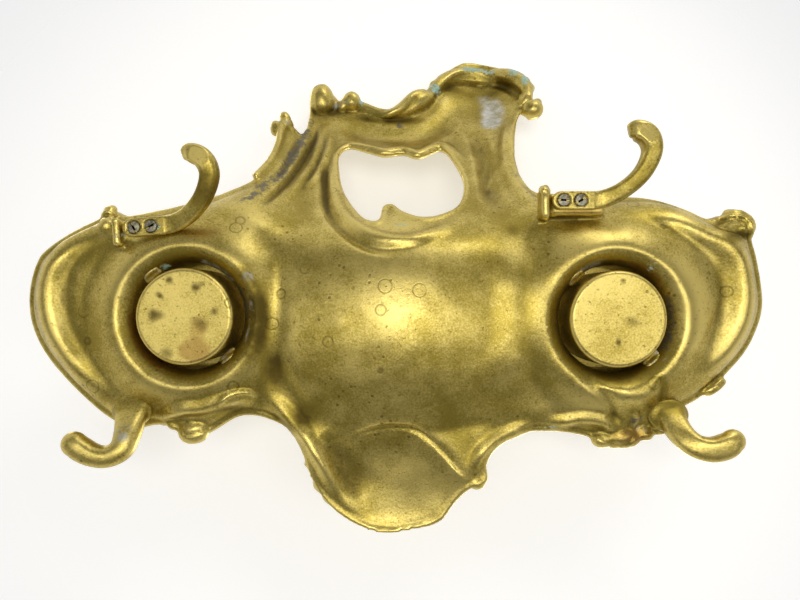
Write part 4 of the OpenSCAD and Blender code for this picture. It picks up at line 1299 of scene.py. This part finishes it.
class INKSTAND_OT_back_feet(bpy.types.Operator):
    """Builds the two screwed-on back feet and their slotted screws"""

    bl_idname = "inkstand.back_feet"
    bl_label = "Back Feet"

    def execute(self, context):
        metal = brass("foot_brass", 0.03)
        metal_of_screws = steel("screw_steel")
        for side, foot in BACK_FEET.items():
            self.build(side, foot, metal)
            self.screws(side, foot, metal_of_screws)
        return {"FINISHED"}

    def build(self, side, foot, metal):
        low, high = foot.plate_z
        middle, tall = (low + high) / 2, high - low
        rows = [[*foot.at(u, v, z), a, b] for u, v, z, a, b in BACK_ROUTE]
        arm = mesh_object("arm", *bar(spline(rows, 6), 24, 0.55))
        end = foot.end - foot.plate_half
        size = (end + 9, 2 * foot.plate_half, tall)
        plate = block(foot.at((end - 9) / 2, 0, middle), size, -foot.turn, 0.25)
        tip = barrel(foot.at(end, 0, middle), foot.plate_half, tall, "Z", 0.25)
        obj = melt([arm, plate, tip], 0.42, 4)
        points = coordinates(obj)
        for u in foot.screws:
            x, y, _ = foot.at(u, 0)
            sunk = (away(points, x, y) < foot.sink_r) & (points[:, 2] < foot.sink_z)
            points[sunk, 2] = foot.sink_z
        set_coordinates(obj, points)
        worn_flat(obj)
        wear(obj, 3.0, 0.2)
        flat = smooth((1.5 - points[:, 2]) / 1.5)
        attribute(obj, "worn", foot.near(points, -24, 25, 9) * flat * 1.4)
        attribute(obj, "verdigris", foot.near(points, -5.5, 0, 4) * foot.green)
        # painted shade on the bend of the arm
        attribute(obj, "soot_and_shade", foot.near(points, -28.5, 12, 13) * foot.painted_shade)
        finish_side(obj, "back_foot", side, STAND, "cast_brass", metal, 0)

    def screws(self, side, foot, metal):
        made = []
        for u, slot_turn in zip(foot.screws, foot.slots):
            head = barrel(foot.at(u, 0, 9.0), 2.42, 1.3, "Z", 0.35)
            saw = block(foot.at(u, 0, 8.3), (7, 0.85, 2.1), slot_turn - foot.turn, 0.05)
            modify(head, "BOOLEAN", object=saw, operation="DIFFERENCE", solver="EXACT")
            bpy.data.objects.remove(saw)
            made += [head, barrel(foot.at(u, 0, 12.4), 1.3, 6.2, "Z", 0.2)]
        finish_side(join(made), "back_foot_screws", side, STAND, "dark_brass", metal)


# ---- wells ----------------------------------------------------------------------------------

# The top and the radius of the collars, the pots' radius and the flange that both rest by.
COLLAR_Z, COLLAR_R, POT_R, FLANGE = 36.0, 25.6, 19.2, 1.4
# The hinges' axis, behind the middle of each well, and the radius of their knuckles.
HINGE_BACK, HINGE_Z, KNUCKLE_R = 28.8, 37.2, 2.5
# How high the lids rise over the collars.
LID_RISE = 11
# The lugs' turns round each well, and how far out the lugs and their solder are.
LUG_TURNS, LUG_R, SOLDER_R = (48, 226), 22, 23.6
# The ring that is rubbed bright round the bottom of each pot.
RUBBED_R = 18.6
# Stains on the bottom of each pot: x, y from its middle, half sizes, strength, turn.
POT_STAINS = {
    1: {
        "hollow": ((11.2, 0.5, 3.4, 3.8, 0.68, 20), (5.6, 14, 2.2, 2.4, 0.6, 0),
                   (-5, 11.5, 5.4, 2.0, 0.6, -30), (-6.5, -2.5, 3.6, 4.5, 0.5, 0),
                   (-12, 2, 2, 2.4, 0.5, 0), (9, 8, 1.6, 1.6, 0.6, 0), (6.3, -14, 4, 4, 0.4, 0)),
        "red": ((-4, -13, 9, 6, 0.8, 0), (-6, -4, 6, 6, 0.5, 0)),
    },
    -1: {
        "hollow": ((0.3, -9.6, 1.8, 1.8, 0.7, 0), (-4.5, -0.8, 6, 3, 0.4, 20),
                   (-1.5, 14.5, 1.8, 1.8, 0.7, 0)),
        "red": ((4, 3, 8, 8, 0.3, 0),),
    },
}


def arc(x, z, r, start, end, steps=6):
    """Points of an arc between two angles in degrees."""
    turn = np.radians(np.linspace(start, end, steps + 1))
    return [[x + r * math.cos(a), z + r * math.sin(a)] for a in turn]


class INKSTAND_OT_wells(bpy.types.Operator):
    """Builds the hinge collars, their lugs, the pots and the glass liners"""

    bl_idname = "inkstand.wells"
    bl_label = "Wells"

    def execute(self, context):
        # The pots' brass is made brighter, as wear and as painted light.
        collar, pot = brass("collar_brass", 0.06), brass("pot_brass", 0.16, 0.8)
        lug, clear = brass("lug_brass", 0, 0.5, 0.5), glass("liner_glass")
        for side, centre in WELLS.items():
            self.collar(side, centre, collar)
            self.pot(side, centre, pot)
            self.lugs(side, centre, lug)
            self.liner(side, centre, clear)
        return {"FINISHED"}

    def collar(self, side, centre, metal):
        x, y = centre
        inner, seat, step = POT_R + 0.3, POT_R + 2.3, COLLAR_Z - FLANGE
        profile = [
            [inner, NECK_TOP], [NECK_R, NECK_TOP], *arc(NECK_R, NECK_TOP + 0.8, 0.8, -80, 40),
            *arc(NECK_R + 0.1, COLLAR_Z - 0.7, 0.7, -40, 90), [seat, COLLAR_Z], [seat, step],
            [inner, step],
        ]
        parts = [spun("collar", profile, centre, 128)]
        for s in (-1, 1):
            parts.append(barrel((x + s * 5.9, y + HINGE_BACK, HINGE_Z), KNUCKLE_R, 4.5))
            parts.append(block((x + s * 5.9, y + 26.3, 34.8), (4.5, 5.0, 2.4), 0, 0.3))
        finish_side(join(parts), "hinge_collar", side, STAND, "spun_brass", metal)

    def pot(self, side, centre, metal):
        step = COLLAR_Z - FLANGE
        profile = [
            [0, 6.25], [9, 6.2], [15.5, 6.05], [17.4, 6.0], *arc(17.5, 7.7, 1.7, -88, 0, 8),
            [POT_R, step], [POT_R + 2, step], [POT_R + 2, COLLAR_Z],
            [POT_R - 1, COLLAR_Z], [POT_R - 1, 8.2], [POT_R - 2, 7.5], [0, 7.5],
        ]
        obj = spun("pot", profile, centre, 128)
        modify(obj, "SUBSURF", subdivision_type="SIMPLE", levels=1)
        points = coordinates(obj)
        bottom = smooth((8.5 - points[:, 2]) / 1.5)
        edge = smooth(1 - np.abs(away(points, *centre) - RUBBED_R) / 1.2)
        attribute(obj, "ridge", edge * bottom * 0.4)
        plan = Plan()
        for key, rows in POT_STAINS[side].items():
            layer = plan.layer()
            for u, v, rx, ry, strength, turn in rows:
                blob(plan, layer, centre[0] + u, centre[1] + v, rx, ry, strength, turn, 0.5)
            values = np.clip(plan.read(layer, points[:, 0], points[:, 1]) * 1.8, 0, 1) * bottom
            attribute(obj, key, values)
        finish_side(obj, "ink_pot", side, STAND, "spun_brass", metal)

    def lugs(self, side, centre, metal):
        parts = []
        for turn in LUG_TURNS:
            a = math.radians(turn)
            out_x, out_y = math.cos(a), math.sin(a)
            x, y = centre[0] + LUG_R * out_x, centre[1] + LUG_R * out_y
            parts.append(block((x, y, 22.6), (3.0, 8.4, 20.4), turn, 1.3))
            x, y = centre[0] + SOLDER_R * out_x, centre[1] + SOLDER_R * out_y
            parts.append(ball((x, y, 13.2), (1.6, 5.0, 2.2), turn))
            parts.append(ball((x - 2.6 * out_y, y + 2.6 * out_x, 13), (1.8, 2, 1.8), turn))
        obj = melt(parts, 0.4, 4)
        wear(obj, 3.0, 0.2)
        finish_side(obj, "collar_lugs", side, STAND, "dark_brass", metal, 0)

    def liner(self, side, centre, clear):
        r, z, wall, top = 17.9, 7.7, 1.6, COLLAR_Z
        high, bore = top + FLANGE, r - wall
        profile = [
            [0, z], [r - 2.2, z], *arc(r - 2, z + 2, 2, -90, 0), [r, top], [r + 0.8, top],
            *arc(r + 0.4, high - 0.6, 0.6, 0, 90, 4), *arc(bore + 0.5, high - 0.5, 0.5, 90, 180, 4),
            *arc(bore - 3, z + wall + 3, 3, 0, -90), [0, z + wall],
        ]
        obj = spun("liner", profile, centre)
        finish_side(obj, "glass_liner", side, STAND, "liner_glass", clear)


# ---- lids -----------------------------------------------------------------------------------

# Rounds of smoothing that find the small and the broad hollows of the lids and finials.
SPUN_ROUNDS = (3, 14)


class INKSTAND_OT_lids(bpy.types.Operator):
    """Builds the fluted lids with their finials and hinge pins"""

    bl_idname = "inkstand.lids"
    bl_label = "Lids"

    def execute(self, context):
        metal, bright = brass("lid_brass", 0.08), brass("finial_brass", 0.14)
        dark = brass("pin_metal", 0, 0.4, 0.3)
        for side, centre in WELLS.items():
            body = LID_LEFT if side < 0 else LID_RIGHT
            self.lid(side, centre, body, metal)
            self.finial(side, centre, body, bright)
            self.pin(side, centre, dark)
        return {"FINISHED"}

    def lid(self, side, centre, body, metal):
        x, y = centre
        z = COLLAR_Z
        outside = [
            [25.4, z + 2.2], [24.6, z + 2.8], [23.2, z + 3.2], [21.5, z + 5.4], [16.4, z + 8.3],
            [9.2, z + 10.2], [4.0, z + LID_RISE], [0.6, z + LID_RISE],
        ]
        under = [
            [0.6, z + 9.4], [9.2, z + 8.6], [15.9, z + 6.8], [19.9, z + 4.5], [22.6, z + 1],
            [22.6, z],
        ]
        profile = [
            [COLLAR_R, z], [COLLAR_R, z + 1.6], [COLLAR_R, z + 2.0], *spline(outside, 7),
            [0, z + LID_RISE], [0, z + 9.4], *spline(under, 4),
        ]
        obj = spun("lid", profile, centre, 224)
        points = coordinates(obj)
        normals = vertex_normals(obj)
        far, turn = away(points, x, y), np.arctan2(points[:, 1] - y, points[:, 0] - x)
        above = smooth(normals[:, 2] * 4) * (points[:, 2] > z + 2.4)
        swirl = turn + 0.045 * (far - 14)
        flute = np.abs(np.sin(8 * swirl)) ** 0.7
        zone = smooth((far - 6.5) / 4) * smooth((22.4 - far) / 1.6)
        pearls = np.abs(np.sin(30 * turn)) * smooth(1 - np.abs(far - 24.2) / 0.9)
        points += normals * (above * (0.75 * flute * zone - 0.2 * zone + 0.4 * pearls))[:, None]
        set_coordinates(obj, points)
        parts = [obj, barrel((x, y + HINGE_BACK, HINGE_Z), KNUCKLE_R, 7.0)]
        parts.append(block((x, y + 26, z + 1.35), (7.0, 5.6, 2.1), 0, 0.3))
        for u, v, length in ((0, -27.2, 2.0), (-2.7, -26.7, 1.9), (2.7, -26.7, 1.9)):
            parts.append(ball((x + u, y + v, z + 1.2), (1.75, length, 0.9), -u * 8))
        obj = join(parts)
        wear(obj, 4.0, 0.2, SPUN_ROUNDS)
        finish_side(obj, "lid", side, body, "spun_brass", metal, 50)

    def finial(self, side, centre, body, metal):
        z = COLLAR_Z + LID_RISE
        bud = [
            [3.6, z + 0.7], [2.2, z + 1.4], [1.7, z + 2.4], [2.9, z + 3.6], [3.4, z + 5.1],
            [2.6, z + 6.7], [0.8, z + 7.5],
        ]
        stem = [[0, z - 2.4], [1.45, z - 2.4], [1.45, z], [3.6, z]]
        profile = [*stem, *spline(bud, 6), [0, z + 7.6]]
        obj = spun("finial", profile, centre, 72)
        points = coordinates(obj)
        dx, dy = points[:, 0] - centre[0], points[:, 1] - centre[1]
        turn = np.arctan2(dy, dx) + 0.25 * (points[:, 2] - z)
        zone = smooth((points[:, 2] - z - 2.4) / 1.5) * smooth((z + 7.4 - points[:, 2]) / 1.2)
        grow = -0.16 * zone * (1 - np.abs(np.sin(4 * turn)) ** 0.6)
        points[:, 0] += dx * grow
        points[:, 1] += dy * grow
        set_coordinates(obj, points)
        wear(obj, 4.0, 0.2, SPUN_ROUNDS)
        finish_side(obj, "lid_finial", side, body, "spun_brass", metal, 50)

    def pin(self, side, centre, metal):
        place = Vector((centre[0], centre[1] + HINGE_BACK, HINGE_Z))
        parts = [barrel(place, 1.1, 16.3, "X", 0.1)]
        parts += [barrel(place + Vector((s * 8.5, 0, 0)), 1.75, 0.85, "X", 0.3) for s in (-1, 1)]
        finish_side(join(parts), "hinge_pin", side, STAND, "dark_brass", metal)


# ---- stage ----------------------------------------------------------------------------------


def one_sided(name, colour, clear_from, clear_to, glow=0.0, grazing=None):
    """A plain matt surface that can only be seen from the side it faces. It thins out between
    two distances from its middle and, with grazing, as it is seen more nearly edge-on."""
    s = Shader(name)
    s.set(Base_Color=(*colour, 1.0), Emission_Color=(*colour, 1.0), Emission_Strength=glow,
          Roughness=0.9, Specular_IOR_Level=0.0)
    far = s.node("ShaderNodeVectorMath", {"operation": "LENGTH"}, s.place, out=1)
    hidden = s.most(s.ramp(far, clear_from, clear_to), s.node("ShaderNodeNewGeometry", out=6))
    if grazing:
        hidden = s.most(hidden, s.ramp(s.node("ShaderNodeLayerWeight", out=1), *grazing))
    solid = Value(s, s.principled.outputs[0])
    chosen = s.node("ShaderNodeMixShader", {}, hidden, solid, s.node("ShaderNodeBsdfTransparent"))
    s.feed(s.tree.nodes["Material Output"].inputs[0], chosen)
    return s.material


def seen_only(obj):
    """Keeps a stage object out of reflections and out of the lamps' way."""
    for ray in ("diffuse", "glossy", "transmission", "volume_scatter", "shadow"):
        setattr(obj, f"visible_{ray}", False)


# Each lamp is its place, its two sizes in metres and its power in watts. They all face AIM.
LAMPS = {
    "room_below": ((-0.02, 0.06, -0.90), (0.44, 0.34), 2.2),
    "left_below": ((0.40, -0.06, -0.83), (0.36, 0.36), 0.5),
    "right_below": ((-0.46, -0.05, -0.83), (0.40, 0.36), 0.9),
    "window_below": ((-0.36, 0.78, -0.37), (0.50, 0.40), 1.6),
    "window_above": ((-0.5, -0.6, 0.9), (0.5, 0.4), 3.0),
    "fill_above": ((0.7, 0.5, 0.7), (0.4, 0.4), 1.2),
}
AIM = Vector((0, 0, 0.03))
# Where the room's light starts to rise, from straight down (-1) to straight up (1), where it
# is full, and how bright it is at both.
ROOM_RISE = (-0.78, -0.05, 0.18, 0.86)
PALE = (0.80, 0.79, 0.77)


def lamp(name, place, size, power):
    """An oval lamp that faces AIM."""
    data = bpy.data.lights.new(name, "AREA")
    data.shape = "ELLIPSE"
    data.size, data.size_y = size
    data.energy = power
    obj = bpy.data.objects.new(name, data)
    obj.location = place
    obj.rotation_mode = "QUATERNION"
    obj.rotation_quaternion = (AIM - Vector(place)).to_track_quat("-Z", "Y")
    bpy.context.scene.collection.objects.link(obj)


def room_light(world):
    """Pale light from above and all round, dimmer from below."""
    nodes, links = world.node_tree.nodes, world.node_tree.links
    place = nodes.new("ShaderNodeTexCoord")
    split = nodes.new("ShaderNodeSeparateXYZ")
    links.new(place.outputs["Generated"], split.inputs[0])
    grade = nodes.new("ShaderNodeMapRange")
    grade.interpolation_type = "SMOOTHSTEP"
    links.new(split.outputs[2], grade.inputs[0])
    for index, value in enumerate(ROOM_RISE):
        grade.inputs[index + 1].default_value = value
    links.new(grade.outputs[0], nodes["Background"].inputs["Color"])


class INKSTAND_OT_stage(bpy.types.Operator):
    """Sets the floor, the backdrop, the lamps and the camera"""

    bl_idname = "inkstand.stage"
    bl_label = "Stage"

    def execute(self, context):
        scene = context.scene
        scene.view_settings.view_transform = "Standard"
        floor, board = self.floor(), self.board()
        scene.world = bpy.data.worlds.new("studio")
        scene.world.use_nodes = True
        room_light(scene.world)
        for name, row in LAMPS.items():
            lamp(name, *row)
        self.camera(scene)
        return {"FINISHED"}

    def floor(self):
        """The pale floor under the feet."""
        bpy.ops.mesh.primitive_plane_add(size=8.0)
        floor = bpy.context.active_object
        floor.name = "floor"
        floor.data.materials.append(one_sided("floor_paint", PALE, 0.3, 1.6))
        seen_only(floor)
        return floor

    def board(self):
        """The board that the stand lies against when it is seen from below."""
        bpy.ops.mesh.primitive_plane_add(size=1.0)
        board = bpy.context.active_object
        board.name = "board"
        lean = math.atan(0.25)
        board.data.transform(
            Matrix.Translation((0, 0.015, 0.0955))
            @ Matrix.Rotation(lean, 4, "X")
            @ Matrix.Diagonal((0.74, 0.60, 1, 1))
            @ Matrix.Rotation(math.pi, 4, "X")
        )
        paint = one_sided("board_paint", PALE, 0.18, 0.34, glow=0.56, grazing=(0.55, 0.75))
        board.data.materials.append(paint)
        seen_only(board)
        return board

    def camera(self, scene):
        """The camera, under the stand and looking straight up."""
        camera = bpy.data.objects.new("camera", bpy.data.cameras.new("camera"))
        scene.collection.objects.link(camera)
        focal_px, image_px = 601.0, 800.0
        camera.data.sensor_width = 36.0
        camera.data.lens = 36.0 * focal_px / image_px
        camera.data.clip_start = 0.01
        camera.location = (-0.0017, -0.021, -0.229)
        camera.rotation_mode = "QUATERNION"
        camera.rotation_quaternion = Matrix(((-1, 0, 0), (0, 1, 0), (0, 0, -1))).to_quaternion()
        scene.camera = camera


class INKSTAND_PT_panel(bpy.types.Panel):
    """Lists the steps that build the inkstand"""

    bl_label = "Inkstand"
    bl_idname = "INKSTAND_PT_panel"
    bl_space_type = "VIEW_3D"
    bl_region_type = "UI"
    bl_category = "Inkstand"

    def draw(self, context):
        for step in STEPS:
            self.layout.operator(step.bl_idname)


STEPS = (
    INKSTAND_OT_stage, INKSTAND_OT_casting, INKSTAND_OT_front_feet, INKSTAND_OT_back_feet,
    INKSTAND_OT_wells, INKSTAND_OT_lids,
)
CLASSES = (CastingSizes, Finish, *STEPS, INKSTAND_PT_panel)


def register():
    for cls in CLASSES:
        bpy.utils.register_class(cls)
    bpy.types.Scene.inkstand_casting = bpy.props.PointerProperty(type=CastingSizes)
    bpy.types.Scene.inkstand_finish = bpy.props.PointerProperty(type=Finish)


def unregister():
    del bpy.types.Scene.inkstand_finish
    del bpy.types.Scene.inkstand_casting
    for cls in reversed(CLASSES):
        bpy.utils.unregister_class(cls)


def main():
    register()
    for step in STEPS:
        family, action = step.bl_idname.split(".")
        getattr(getattr(bpy.ops, family), action)()


if __name__ == "__main__":
    main()
